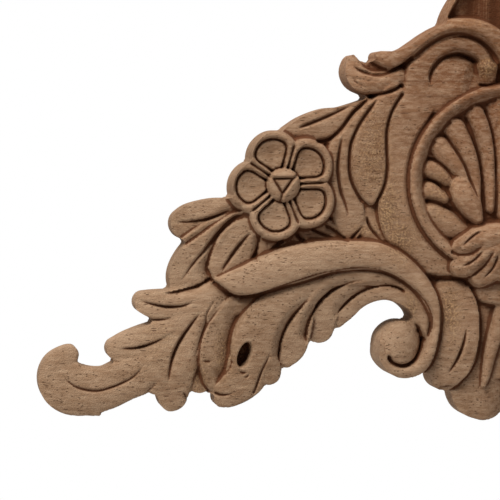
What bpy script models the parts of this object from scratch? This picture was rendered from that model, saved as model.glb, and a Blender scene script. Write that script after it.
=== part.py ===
"""Corner onlay of carved wood: scrolls, leaves, a five-petal flower and a shell.

One piece, symmetric about the YZ plane.  Back plane y = 0, carving towards -Y, +Z up.
The relief is a height over the back, worked out on a grid for the left half from named
sizes: each leaf is a smooth stroke of varying half width with a domed or paired section,
strokes are joined by taking the higher one or melted into one face, a ball cutter rounds
the valleys, faces are tucked down where they pass under a neighbour's edge, and vee
grooves are then cut for the veins.  Plan sizes below are in millimetres.
"""
import math

import bmesh
import bpy
import numpy as np

MM = 0.001

# plan and height sizes, millimetres
GRID = 0.75
HALF_WIDTH = 150.8
FOOT_LOW = -75.6
CREST_TOP = 75.9
WALL_SLOPE = 3.2
CUTTER = 0.9
TUCK_LIP = 0.35
NOTCH_RADIUS = 1.0
EDGE_ROUND = 0.7
NARROWEST_VEE = 1.5
TIP_DROOP = 0.05
SOFTEN = 0.35
# the strokes reach out to the foot of the side walls as seen from the lower right; this much of
# the height is taken off again on the sides that face left and up
WALL_SEEN_LEFT = 0.156
WALL_SEEN_UP = 0.045
TRIANGLES = 9500

LEAF_TOP = 11.0
STEM_TOP = 16.6
SCROLL_EYE = (-37.2, -50.3)
SCROLL_EYE_RADIUS = 8.1
SCROLL_EYE_TOP = 12.8
SKIRT_TOP = 13.2

FLOWER_AT = (-74.0, 0.0)
FLOWER_TOP = 14.2
PETALS = 5
PETAL_RADIUS = 8.25
PETAL_REACH = 9.2
PETAL_FIRST = 39.0
PETAL_RIM = 2.4
PETAL_WEB = 1.62
PETAL_GROOVE = 1.3
PETAL_GROOVE_HALF = 0.8
BOSS_RADIUS = 5.3
BOSS_SLOPE = 0.42

RING_HALF_WIDTH = 33.6
RING_HALF_HEIGHT = 30.4
RING_AT = 1.0
RING_TOP = 15.4
RING_BAND = 4.6
RING_FLOOR = 11.0

CREST_ARC_AT = (15.9, 35.5)
CREST_ARC_RADIUS = 43.4
CREST_RIM = 2.2
CREST_TOP_LEVEL = 13.4
CREST_FLOOR = 9.8
CREST_FLUTE = 4.2

EYE_HOLE_AT = (-86.0, -53.1)
EYE_HOLE_LONG = 4.0
EYE_HOLE_SHORT = 1.85
EYE_HOLE_LEAN = 71.6
EYE_HOLE_DEPTH = 7.0

WOOD = (0.352, 0.223, 0.141, 1.0)


def curve(knots, steps=7):
    """Smooth curve through a few knots; every column is carried along."""
    k = np.asarray(knots, float)
    if len(k) == 2:
        t = np.linspace(0.0, 1.0, steps + 1)[:, None]
        return k[0] * (1.0 - t) + k[1] * t
    p = np.vstack([2.0 * k[0] - k[1], k, 2.0 * k[-1] - k[-2]])
    rows = []
    for i in range(1, len(p) - 2):
        a, b, c, d = p[i - 1], p[i], p[i + 1], p[i + 2]
        for t in np.linspace(0.0, 1.0, steps, endpoint=False):
            rows.append(0.5 * (2.0 * b + (c - a) * t + (2.0 * a - 5.0 * b + 4.0 * c - d) * t * t
                               + (3.0 * b - a - 3.0 * c + d) * t ** 3))
    rows.append(k[-1])
    return np.array(rows)


def fall(q):
    """Quarter-round drop, 0 inside and 1 at the very edge."""
    return 1.0 - np.sqrt(np.clip(1.0 - q * q, 0.0, 1.0))


def polar(centre, knots):
    """Knots given as angle, radius, half width, height about a centre."""
    rows = []
    for angle, radius, half, top in knots:
        a = math.radians(angle)
        rows.append((centre[0] + radius * math.cos(a), centre[1] + radius * math.sin(a), half, top))
    return rows


class Relief:
    """Height over the back and distance inside the outline, on a grid of the left half."""

    def __init__(self, step):
        self.step = step
        left = int(math.ceil((HALF_WIDTH + 2.5) / step))
        low = int(math.floor((FOOT_LOW - 2.5) / step))
        high = int(math.ceil((CREST_TOP + 2.5) / step))
        self.x, self.z = np.meshgrid(np.arange(-left, 4) * step, np.arange(low, high + 1) * step)
        self.h = np.full(self.x.shape, -40.0)
        self.foot = np.full(self.x.shape, -40.0)
        self.cuts = []
        self.tucks = []

    def window(self, c, pad):
        cols = np.searchsorted(self.x[0], [c[:, 0].min() - pad, c[:, 0].max() + pad])
        rows = np.searchsorted(self.z[:, 0], [c[:, 1].min() - pad, c[:, 1].max() + pad])
        return slice(rows[0], rows[1]), slice(cols[0], cols[1])

    def near(self, c, win):
        """Distance inside a stroke, side, place along it, half width, offset, reach past an end."""
        x = self.x[win]
        z = self.z[win]
        inside = np.full(x.shape, -1e9)
        side = np.zeros(x.shape)
        place = np.zeros(x.shape)
        half = np.ones(x.shape)
        off = np.ones(x.shape)
        past = np.zeros(x.shape)
        n = len(c) - 1
        for i in range(n):
            ax, az, aw = c[i, :3]
            dx = c[i + 1, 0] - ax
            dz = c[i + 1, 1] - az
            length = math.hypot(dx, dz) + 1e-6
            free = ((x - ax) * dx + (z - az) * dz) / length ** 2
            t = np.clip(free, 0.0, 1.0)
            px = x - ax - t * dx
            pz = z - az - t * dz
            d = np.hypot(px, pz)
            w = aw + t * (c[i + 1, 2] - aw)
            m = w - d > inside
            inside[m] = (w - d)[m]
            side[m] = np.sign(dx * pz - dz * px)[m]
            place[m] = (i + t[m]) / n
            half[m] = w[m]
            off[m] = d[m]
            beyond = np.zeros(x.shape)
            if i == 0:
                beyond = np.maximum(beyond, -free * length)
            if i == n - 1:
                beyond = np.maximum(beyond, (free - 1.0) * length)
            past[m] = beyond[m]
        return inside, side, place, half, off, past

    def leaf(self, knots, crown=0.8, paired=False, ball=False, tilt=0.0, edge=1.0, foot=True):
        """Raised stroke; each knot is x, z, half width, height."""
        c = curve(knots)
        win = self.window(c, c[:, 2].max() + 4.5)
        inside, side, place, half, off, past = self.near(c, win)
        top = np.interp(place * (len(c) - 1), np.arange(len(c)), c[:, 3])
        u = np.clip(inside / half, 0.0, 1.0)
        if paired:
            section = 4.0 * u * (1.0 - u)
        elif ball:
            section = 1.0 - fall(1.0 - u)
        else:
            section = 1.0 - (1.0 - u) ** 2
        h = top + crown * section + tilt * side * np.clip(off / half, 0.0, 1.0)
        h = h - TIP_DROOP * past ** 2
        edge = EDGE_ROUND * edge
        h = h - 0.8 * edge * fall(1.0 - np.clip(inside / edge, 0.0, 1.0))
        h = np.where(inside < 0.0, h + WALL_SLOPE * inside, h)
        self.h[win] = np.maximum(self.h[win], h)
        if foot:
            self.foot[win] = np.maximum(self.foot[win], inside)

    def sheet(self, strokes, crown=0.8, edge=1.2, melt=2.2):
        """Several strokes melted into one smooth face; knots as in leaf()."""
        lines = [curve(knots) for knots in strokes]
        win = self.window(np.vstack(lines), 14.0)
        best = np.full(self.x[win].shape, -1e9)
        total = np.zeros(best.shape)
        weight = np.zeros(best.shape) + 1e-12
        for c in lines:
            inside, side, place = self.near(c, win)[:3]
            w = np.exp(np.clip(inside, -40.0, 12.0) / melt)
            total += w * np.interp(place * (len(c) - 1), np.arange(len(c)), c[:, 3])
            weight += w
            best = np.maximum(best, inside)
        edge = EDGE_ROUND * edge
        h = total / weight + crown * (1.0 - (1.0 - np.clip(best / 5.0, 0.0, 1.0)) ** 2)
        h = h - 0.8 * edge * fall(1.0 - np.clip(best / edge, 0.0, 1.0))
        h = np.where(best < 0.0, h + WALL_SLOPE * best, h)
        self.h[win] = np.maximum(self.h[win], h)
        self.foot[win] = np.maximum(self.foot[win], best)

    def ground(self, knots, top):
        """Flat bed between the leaves; each knot is x, z, half width."""
        c = curve(knots)
        win = self.window(c, c[:, 2].max() + 3.0)
        inside = self.near(c, win)[0]
        self.h[win] = np.maximum(self.h[win], top + WALL_SLOPE * np.minimum(inside, 0.0))
        self.foot[win] = np.maximum(self.foot[win], inside)

    def tuck(self, knots, width, depth, taper=(0.1, 0.1)):
        """The face right of a line dips under it and comes up again over the width."""
        self.tucks.append((knots, width, depth, taper))

    def cut_tucks(self):
        for knots, width, depth, taper in self.tucks:
            c = curve([(k[0], k[1], 1.0) for k in knots])
            win = self.window(c, width + 1.0)
            inside, side, place, half, off, past = self.near(c, win)
            k = np.ones_like(place)
            if taper[0] > 0.0:
                k = np.minimum(k, np.clip(place / taper[0], 0.0, 1.0))
            if taper[1] > 0.0:
                k = np.minimum(k, np.clip((1.0 - place) / taper[1], 0.0, 1.0))
            k = k * ((side < 0.0) | (off < TUCK_LIP)) * (past <= 0.0)
            reach = width * (0.4 + 0.6 * k)
            self.h[win] -= depth * k * np.clip(1.0 - off / reach, 0.0, 1.0) ** 1.6

    def vee(self, knots, width, depth, taper=(0.25, 0.25)):
        """Groove to be cut last; each knot is x, z.  Tapers are shares of its length."""
        self.cuts.append((knots, max(width, NARROWEST_VEE), depth, taper))

    def cut_vees(self):
        for knots, width, depth, taper in self.cuts:
            c = curve([(k[0], k[1], 1.0) for k in knots])
            win = self.window(c, 2.0 * width)
            place, off = self.near(c, win)[2:5:2]
            k = np.ones_like(place)
            if taper[0] > 0.0:
                k = np.minimum(k, np.clip(place / taper[0], 0.0, 1.0) ** 0.7)
            if taper[1] > 0.0:
                k = np.minimum(k, np.clip((1.0 - place) / taper[1], 0.0, 1.0) ** 0.7)
            half = 0.5 * width * (0.45 + 0.55 * k)
            self.h[win] -= depth * k * np.clip(1.0 - off / half, 0.0, 1.0) ** 0.85

    def round_valleys(self):
        """A ball cutter cannot reach into gaps narrower than itself, nor a saw into tight notches."""
        self.h = closing(self.h, CUTTER, self.step, True)
        self.foot = closing(self.foot, NOTCH_RADIUS, self.step, False)


def closing(field, radius, step, ball):
    n = int(radius / step)
    spots = []
    for i in range(-n, n + 1):
        for j in range(-n, n + 1):
            reach = (i * i + j * j) * step * step
            if reach <= radius * radius:
                spots.append((i, j, radius - math.sqrt(radius * radius - reach) if ball else 0.0))

    def spread(a):
        p = np.pad(a, n, mode="edge")
        out = np.full(a.shape, -1e9)
        for i, j, drop in spots:
            out = np.maximum(out, p[n + i:n + i + a.shape[0], n + j:n + j + a.shape[1]] - drop)
        return out

    return -spread(-spread(field))


def soften(field, sigma):
    n = int(math.ceil(3.0 * sigma))
    weights = np.exp(-0.5 * (np.arange(-n, n + 1) / sigma) ** 2)
    weights /= weights.sum()
    for axis in (0, 1):
        p = np.pad(field, [(n, n) if a == axis else (0, 0) for a in (0, 1)], mode="edge")
        out = np.zeros_like(field)
        for i, w in enumerate(weights):
            out += w * np.take(p, range(i, i + field.shape[axis]), axis=axis)
        field = out
    return field


def set_in_sides(r):
    """Take the seen width of the side walls off the outline where it faces left or up."""
    level = np.clip(soften(np.maximum(r.h, 6.0), 1.5 / r.step), 8.0, 14.0)
    rows, cols = np.indices(r.x.shape, dtype=float)
    rows = np.clip(rows + WALL_SEEN_UP * level / r.step, 0.0, r.x.shape[0] - 1.001)
    cols = np.clip(cols - WALL_SEEN_LEFT * level / r.step, 0.0, r.x.shape[1] - 1.001)
    i = rows.astype(int)
    j = cols.astype(int)
    a = rows - i
    b = cols - j
    low = r.foot[i, j] * (1.0 - b) + r.foot[i, j + 1] * b
    high = r.foot[i + 1, j] * (1.0 - b) + r.foot[i + 1, j + 1] * b
    r.foot = np.minimum(r.foot, low * (1.0 - a) + high * a)


def bed(r):
    """Low beds that join the leaves into one board."""
    r.ground([(-99.6, -44, 3), (-100.5, -54, 5), (-99.8, -60.6, 4.6)], 9.2)
    r.ground([(-92, -20, 9), (-98, -30, 5), (-104, -40, 6)], 9.6)
    r.ground([(-82, -10, 8), (-94, -12, 6)], 9.4)
    r.ground([(-62, 10, 10), (-60, 0, 12), (-58, -12, 9)], 9.2)
    r.ground([(-84, -22, 6), (-72, -20, 8), (-60, -20, 8), (-46, -20, 8)], 9.2)
    r.ground([(-68, -30, 7), (-78, -40, 8), (-84, -52, 8)], 10.0)
    r.ground([(-82, -34, 4), (-90, -37, 4), (-96, -36, 3)], 10.6)
    r.ground([(-48, -8, 8), (-30, -20, 9), (-18, -36, 9), (-6, -50, 7)], 9.8)
    r.ground([(-34, 12, 6), (-38, 0, 6), (-36, -12, 6)], 10.0)
    r.ground([(-40, 28, 7), (-28, 36, 9), (-14, 38, 12), (0, 36, 10)], 9.5)
    r.ground([(-6, 44, 9), (0, 40, 9)], 8.5)
    r.ground([(-17, 0, 17), (-10, 10, 16), (0, 14, 16)], 9.0)
    r.ground([(-60, -26, 4), (-48, -26, 5), (-36, -30, 4), (-27, -40, 3.4), (-26, -52, 3.4), (-30, -56, 3)], 9.5)
    r.ground([(0, -26, 8), (0, -38, 8), (0, -50, 6)], 8.6)
    r.ground([(-32, 12, 6), (-26, 22, 6), (-18, 29, 6)], 9.5)


def arm_leaf(r):
    """The curl at the far end, its two lobes and the long leaf, all one smooth face."""
    curl = [(-108, -55, 7.0, 10.6), (-122, -59.7, 6.9, 9.8), (-130, -63.3, 6.9, 9.4),
            (-137.6, -63.9, 7.8, 9.2), (-143, -61.5, 8.0, 9.0), (-144.3, -57.5, 6.4, 8.8),
            (-141.8, -53.6, 4.0, 8.6), (-140.3, -52.6, 2.8, 8.4)]
    heel = [(-136, -70.2, 1.4, 9.0), (-131.6, -71.0, 0.9, 8.6)]
    body = [(-96, -34, 4.4, 10.8), (-101, -41, 6.5, 10.8), (-106, -49, 8.4, 10.6), (-109.5, -57, 8.2, 10.2),
            (-109.0, -61.5, 6.7, 9.8), (-108.9, -65.4, 5.4, 9.4)]
    low_lobe = [(-103, -44.5, 5.4, 10.8), (-109, -47.3, 5.9, 10.6), (-114.5, -48.6, 6.2, 10.3),
                (-122, -49.9, 4.9, 9.7), (-127.0, -50.8, 3.3, 9.0)]
    high_lobe = [(-100, -37.6, 5.6, 11.0), (-109.5, -37.5, 5.2, 10.8), (-115.2, -36.9, 4.3, 10.0),
                 (-118.2, -36.3, 3.4, 9.2)]
    r.sheet([curl, heel, body, low_lobe, high_lobe], crown=0.9, edge=1.7)
    r.vee([(-142.6, -58.4), (-141.2, -60.6), (-137.7, -62.9), (-132.3, -63.9), (-127.8, -62.9),
           (-124, -61.4), (-121, -59.8), (-118.8, -57.6), (-117.4, -55.6)], 1.2, 1.0, (0.3, 0.4))
    r.vee([(-124.6, -50.9), (-120, -50.6), (-116, -49.6), (-111.6, -47.7)], 1.4, 1.5, (0.5, 0.6))
    r.vee([(-118.4, -36.0), (-114, -37.2), (-110, -37.8), (-106, -37.7), (-102.3, -36.6)], 1.5, 1.6, (0.5, 0.5))
    r.vee([(-99.9, -39.8), (-103, -43.8), (-106.2, -48.5), (-108.3, -53), (-109.3, -57), (-109.9, -61.5)],
          1.7, 1.8, (0.35, 0.4))
    r.tuck([(-126, -50.9), (-120, -50.6), (-116, -49.6), (-111.6, -47.7), (-106.6, -45.0)], 5.5, 1.0, (0.4, 0.6))
    r.tuck([(-119.4, -35.8), (-114, -37.2), (-110, -37.8), (-106, -37.7), (-101, -36.0)], 4.5, 0.9, (0.4, 0.5))
    r.tuck([(-109.7, -62.5), (-109.0, -57), (-108, -53), (-105.9, -48.5), (-102.7, -43.8), (-99.5, -39.8)],
           5.5, 0.8, (0.4, 0.4))
    r.vee([(-116.6, -42.0), (-114.4, -42.0), (-111.5, -41.8), (-109, -41.4)], 1.2, 1.5, (0.0, 0.9))
    r.vee([(-129, -54.6), (-127, -54.9), (-124.5, -54.8)], 1.2, 1.3, (0.0, 0.9))
    r.vee([(-116.6, -65.6), (-116.2, -64.4), (-115.2, -62.8)], 1.0, 1.3, (0.0, 0.9))
    r.vee([(-104.0, -66.6), (-104.6, -65.4), (-105.4, -64.4)], 1.0, 1.4, (0.0, 0.9))
    r.vee([(-94.6, -35.0), (-96.6, -38), (-97.9, -40.6), (-98.2, -43.6), (-99.5, -47.5), (-100.6, -50.8),
           (-101.8, -54.4)], 1.1, 0.7, (0.3, 0.4))
    r.tuck([(-111.4, -33.9), (-106, -32.9), (-102, -31.9), (-99, -30.6), (-96.4, -29.2)], 2.4, 1.9, (0.2, 0))
    r.tuck([(-116.2, -65.2), (-114.6, -62.8), (-112.8, -60.6)][::-1], 2.4, 0.7, (0.7, 0))


def eyed_leaf(r):
    """The leaf with the sunk eye: an outer strip, a body and a small lobe."""
    r.leaf([(-88.3, -37, 2.6, 10.6), (-91.3, -41.5, 4.4, 10.6), (-94.4, -48, 5.6, 10.6), (-94.7, -54, 5.6, 10.4),
            (-94.0, -60.0, 4.8, 9.8)], crown=0.2, tilt=-1.1, edge=0.7)
    r.sheet([
        [(-60, -30.0, 1.8, 13.2), (-66, -32.2, 3.0, 13.2), (-71.7, -35.6, 4.5, 13.0), (-77.3, -40.5, 6.2, 12.6),
         (-81.6, -47, 7.6, 12.2), (-83, -54, 7.5, 11.8), (-85.6, -60.4, 6.4, 11.2), (-90.3, -64.7, 4.9, 10.4),
         (-93.4, -66.4, 3.3, 9.6)],
        [(-77.7, -48, 2.6, 12.0), (-78.3, -54, 3.5, 11.2), (-78.0, -59.0, 3.9, 9.8)]], crown=0.9, edge=1.2)
    r.tuck([(-90, -34.7), (-94, -38.8), (-97.5, -43.5), (-99.4, -48), (-100.1, -52.5), (-100.0, -56),
            (-98.9, -60), (-97, -64.8)], 2.6, 1.2, (0.3, 0))
    r.tuck([(-79, -34.8), (-84.5, -39), (-88, -43.5), (-89.8, -48), (-90.3, -52.5), (-90.2, -56.4), (-92.4, -59.8),
            (-95.4, -62.8)], 4.8, 1.4, (0.25, 0.1))
    r.vee([(-77.6, -52), (-78.7, -54.6), (-80.4, -58.1), (-81.4, -60.9), (-82.2, -63.3), (-82.9, -65.2)],
          1.1, 1.2, (0.5, 0))
    r.vee([(-95.4, -65.0), (-93.5, -65.7), (-91.5, -65.7), (-88.8, -65.0)], 0.9, 1.2, (0.1, 0.5))
    r.vee([(-99.0, -54.7), (-97.8, -55.2), (-96.2, -55.0)], 0.9, 0.7, (0.3, 0.3))
    r.vee([(-88.2, -57.6), (-86.6, -58.8), (-85.0, -58.4)], 1.4, 0.9, (0.4, 0.4))
    r.vee([(-86.4, -60.2), (-85.2, -60.0), (-84.4, -58.9)], 1.2, 0.7, (0.4, 0.4))


def arch_lobes(r):
    """Three lobes hanging under the arch, the first two from one band."""
    r.leaf([(-28.5, -47.4, 1.0, 13.4), (-28.4, -43.5, 1.9, 14.0), (-30.2, -38.8, 2.4, 14.2),
            (-33.4, -34.4, 2.6, 14.4), (-38, -31.0, 2.5, 14.6), (-48, -28.9, 2.5, 14.6),
            (-57, -29.6, 2.3, 14.2), (-61.7, -32.6, 2.3, 13.6), (-65.7, -37.3, 2.5, 13.0),
            (-69.3, -46.6, 4.4, 11.4), (-70.6, -51.2, 4.4, 10.4), (-72.4, -55.2, 2.5, 9.6)],
           crown=0.4, edge=0.8)
    r.leaf([(-37, -31.4, 0.9, 13.4), (-42, -30.7, 1.5, 13.2), (-47, -31.1, 1.9, 13.2), (-52, -32.4, 2.4, 13.0),
            (-56, -35.2, 2.9, 12.4), (-59.2, -39.2, 3.6, 11.4), (-61.9, -45.4, 4.6, 10.0)], crown=0.4, edge=0.8)
    r.leaf([(-56.2, -42.9, 2.4, 9.6), (-53.2, -39.8, 2.8, 10.6), (-50.3, -37.2, 2.5, 11.4), (-47, -35.2, 2.4, 12.4),
            (-43, -34.0, 2.4, 13.4), (-39.5, -34.0, 2.6, 14.0), (-35.8, -35.6, 2.7, 14.2), (-32.6, -38.8, 2.8, 13.8),
            (-31.2, -43, 2.8, 13.0)], crown=0.6, edge=0.9)
    r.tuck([(-65.2, -34.9), (-68.0, -38.2), (-70.4, -41.3), (-72.8, -45.2), (-74.2, -49.2), (-74.6, -52.5),
            (-74.9, -57.0)], 3.4, 2.6, (0.35, 0.12))
    r.tuck([(-47, -29.8), (-52, -30.5), (-56.4, -32.4), (-60.0, -35.1), (-62.6, -38.0), (-64.3, -40.9),
            (-65.5, -44), (-66.0, -47), (-66.0, -50.4)], 3.6, 2.6, (0.3, 0.1))
    r.tuck([(-33.6, -35.0), (-36.4, -32.9), (-40, -31.9), (-44, -32.1), (-48, -33.4), (-51.6, -35.9),
            (-54.6, -38.7), (-57.4, -42.0)], 4.2, 1.7, (0.2, 0.12))
    r.vee([(-35.2, -34.0), (-37, -32.9), (-40, -32.1), (-43, -32.2)], 1.5, 1.8, (0.1, 0.8))


def side_leaves(r):
    """Small veined leaves at the outer side of the flower, each tucked under the next."""
    r.leaf([(-84, -6.5, 4.3, 11.0), (-91, -8.6, 5.1, 10.8), (-97, -9.7, 5.7, 10.2), (-102.4, -11, 5.7, 9.4),
            (-104.9, -11.8, 5.0, 8.6)], crown=0.8, edge=1.6)
    r.vee([(-107.6, -11.6), (-103, -11.4), (-99, -10.8), (-95, -9.8), (-92.5, -8.7), (-90.4, -7.7)],
          1.5, 1.5, (0.5, 0.4))
    r.tuck([(-108, -11.9), (-103, -11.6), (-99, -11), (-95, -10), (-90.4, -8)], 4.0, 0.9, (0.4, 0.4))
    r.leaf([(-87.5, -10.2, 2.4, 12.4), (-93.3, -14.1, 4.2, 12.2), (-97.8, -18, 5.6, 11.8), (-101.4, -22.5, 6.6, 11.2),
            (-103.1, -27.8, 7.7, 10.2), (-105.0, -31.2, 5.4, 9.8), (-106.4, -33.0, 3.4, 9.6)], crown=0.5, edge=1.6)
    r.leaf([(-84.0, -12.0, 4.2, 12.6), (-87.0, -16.8, 5.6, 12.4), (-90.4, -21.8, 5.8, 11.8), (-93.2, -26, 3.9, 11.4),
            (-95.3, -29.4, 1.6, 11.0)], crown=0.5, edge=0.8)
    r.leaf([(-79.6, -13, 3.0, 11.8), (-78.6, -20, 4.0, 11.2)], crown=0.5)
    r.leaf([(-74, -15, 3.4, 10.8), (-73.0, -19, 3.8, 10.8), (-66, -19, 3, 10.4)], crown=0.5)
    r.tuck([(-105.6, -19.2), (-100, -15.4), (-95, -11.7), (-91, -9.2), (-87, -7.8)][::-1], 3.4, 1.7, (0, 0))
    r.tuck([(-85, -9.8), (-88.4, -10.8), (-91.4, -13), (-94.2, -16), (-96, -20), (-96.9, -23), (-97.4, -26),
            (-96.6, -28), (-95.8, -30)], 3.4, 2.2, (0.1, 0))
    r.vee([(-85.6, -9.2), (-88.6, -9.9), (-91.4, -12), (-94, -14.9), (-96.4, -17.8), (-98.8, -20.7), (-101.2, -23.5),
           (-103.4, -26.5), (-105.8, -30.2)], 1.9, 1.8, (0.15, 0.5))
    r.vee([(-84.2, -14.8), (-87, -18), (-89.5, -21.3), (-91.5, -24.3), (-93.4, -27.1)], 1.8, 2.0, (0.3, 0.5))
    r.tuck([(-82.4, -24.0), (-82.0, -21.5), (-81.7, -19), (-81.0, -15)][::-1], 2.6, 1.8, (0.1, 0))
    r.vee([(-73.6, -17.3), (-75.4, -18.7), (-77.9, -20.6)], 1.6, 2.2, (0.1, 0.5))


def falling_leaves(r):
    """Leaves that fall from the notch and pass behind the flower."""
    r.leaf([(-47, 26.4, 1.6, 12.4), (-51.5, 23.3, 3.0, 12.2), (-56, 20.2, 4.7, 11.8), (-61, 18.7, 5.6, 11.2),
            (-67, 17.3, 4.8, 10.8), (-72, 15.3, 3.8, 10.6)], crown=0.6, edge=1.4)
    r.vee([(-69, 17.6), (-66, 18.7), (-62, 20.3), (-58, 22), (-54.5, 23.7), (-52.0, 24.9)], 1.6, 1.6, (0.2, 0.5))
    r.leaf([(-46.5, 25.0, 1.0, 13.0), (-49.5, 21.3, 1.8, 13.0), (-52.7, 16.5, 3.0, 12.8), (-55.2, 10.5, 4.0, 12.6),
            (-56.0, 4.0, 4.6, 12.4), (-54.6, -2.5, 5.0, 12.2), (-52.8, -9.0, 5.0, 11.8), (-52.3, -14, 3.6, 11.2),
            (-52.6, -17.4, 1.2, 10.8)], crown=0.5, edge=0.9)
    r.vee([(-55.0, 15.6), (-55.9, 11), (-56.4, 6), (-56.2, 2), (-55.3, -2.5), (-54, -6), (-52.9, -10.2)],
          1.8, 2.0, (0.3, 0.3))
    r.leaf([(-38.4, 29.2, 2.6, 13.4), (-41.2, 25.2, 3.6, 13.6), (-43.8, 21, 4.4, 13.6), (-45.8, 15.5, 5.1, 13.6),
            (-46.6, 9.0, 5.8, 13.6), (-46.5, 3.0, 5.5, 13.4), (-46.3, -1.5, 3.5, 13.2), (-45.7, -4.9, 1.3, 13.0)],
           crown=0.3, edge=0.7)
    r.vee([(-36.1, 28.2), (-38.3, 24.8), (-39.8, 21.5), (-40.9, 17), (-41.0, 12), (-40.7, 6), (-41.2, 1),
           (-42.6, -3), (-44.4, -6)], 1.7, 1.9, (0, 0.1))
    r.vee([(-43.6, 27.2), (-45.3, 25), (-47.5, 22), (-49.5, 19), (-51.2, 15.5), (-52.4, 12), (-52.7, 6),
           (-52.2, 2), (-50.8, -1.5), (-48.6, -5.2)], 1.7, 1.9, (0.15, 0))
    r.vee([(-43.5, 28), (-46.5, 26.8), (-49, 24.8), (-51.5, 22.5), (-54, 19), (-56.5, 16), (-59, 14.2),
           (-62.8, 13.2)], 1.9, 2.4, (0.1, 0))
    r.leaf([(-46.8, -7.5, 2.6, 10.4), (-46.2, -11, 3.6, 10.8), (-44.4, -15, 4.2, 11.2), (-42, -18.5, 3.8, 11.4)],
           crown=0.5, edge=0.9)
    r.vee([(-46.9, -10), (-46.3, -12.4), (-45, -14.7), (-42.2, -17.9)], 1.4, 1.9)
    r.vee([(-48.3, -13.2), (-49.8, -14.9), (-51.2, -16.4), (-52.0, -17.4)], 1.4, 1.6, (0.6, 0.2))
    r.leaf([(-66, -13.5, 3.6, 10.2), (-60, -14.6, 3.8, 10.4), (-55.3, -15.8, 2.9, 10.6)], crown=0.4, edge=0.9)
    r.vee([(-64.8, -13.8), (-61.5, -15.4), (-57.2, -16.9)], 1.5, 1.9, (0.1, 0.5))
    r.tuck([(-60.4, -12.4), (-57, -14.5), (-54.5, -16.6), (-53.2, -18)], 2.4, 1.6, (0.1, 0))
    r.vee([(-69.4, -15.4), (-68.2, -16.8), (-66.2, -18.4)], 1.9, 2.0, (0.2, 0.2))


def stem_and_scroll(r):
    """The long arched stem that winds into the scroll round its domed eye."""
    t = STEM_TOP
    arch = [(-94.6, -29.6, 0.8, t - 4.2), (-90, -30.2, 3.2, t - 3.4), (-85, -29.5, 4.5, t - 2.4),
            (-80, -27.9, 5.2, t - 1.6), (-75, -26.2, 5.4, t - 1.0), (-70, -24.9, 5.4, t - 0.6),
            (-60, -22.8, 4.6, t - 0.2), (-50, -22.4, 4.0, t)]
    turn = polar(SCROLL_EYE, [(105, 28.5, 4.0, t), (95, 26.3, 3.7, t), (82, 22.9, 3.1, t), (66, 19.4, 2.7, t - 0.2),
                              (48, 16.4, 2.2, t - 0.6), (31, 14.2, 1.6, t - 1.0), (14, 12.2, 1.5, t - 1.4),
                              (-8, 10.7, 2.0, t - 1.8), (-34, 10.2, 2.3, t - 2.2), (-58, 9.7, 2.1, t - 2.6),
                              (-82, 8.8, 2.1, t - 2.8), (-112, 7.6, 2.3, t - 3.0), (-146, 6.8, 2.5, t - 3.0),
                              (-174, 6.3, 2.1, t - 3.0)])
    r.leaf(arch + turn, crown=0.9, edge=0.9)
    x, z = SCROLL_EYE
    r.leaf([(x - 0.1, z - 0.5, SCROLL_EYE_RADIUS, SCROLL_EYE_TOP),
            (x + 0.1, z - 0.5, SCROLL_EYE_RADIUS, SCROLL_EYE_TOP)], crown=2.6, ball=True, edge=0.6)
    r.vee([(-40.5, -53.6), (-39.2, -56.0), (-36.5, -57.2), (-34, -57.0), (-31.5, -55.6), (-29.8, -53),
           (-28.8, -50.2), (-29.0, -48.2), (-30.2, -45.8), (-32, -43.6)], 1.8, 3.0, (0.05, 0.2))
    r.tuck([(-96, -29.6), (-92.5, -32.2), (-89.5, -34.3), (-86, -34.9), (-81, -33.7), (-76, -31.9), (-70, -29.9),
            (-64, -28.0), (-58, -26.8), (-52, -26.0), (-46, -26.2)], 3.0, 2.4, (0.02, 0.3))
    r.tuck([(-60, -27.2), (-56, -26.5), (-52, -26.0), (-46, -26.2), (-41, -27.7), (-36, -30.4), (-31.5, -33.9),
            (-28.5, -37.6), (-26.6, -42), (-26.8, -46), (-28.5, -49)], 2.0, 1.5, (0.3, 0.1))
    r.tuck([(-29.2, -60.2), (-27, -57.6), (-25.2, -53.4), (-24.2, -48), (-23.8, -43), (-24.1, -38), (-25.4, -33.4),
            (-28.0, -30.0), (-31.2, -26.4), (-35.2, -22.9), (-38.1, -20.9), (-41.3, -19.0), (-43.4, -18.3)],
           2.3, 2.0, (0.0, 0.15))


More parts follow.
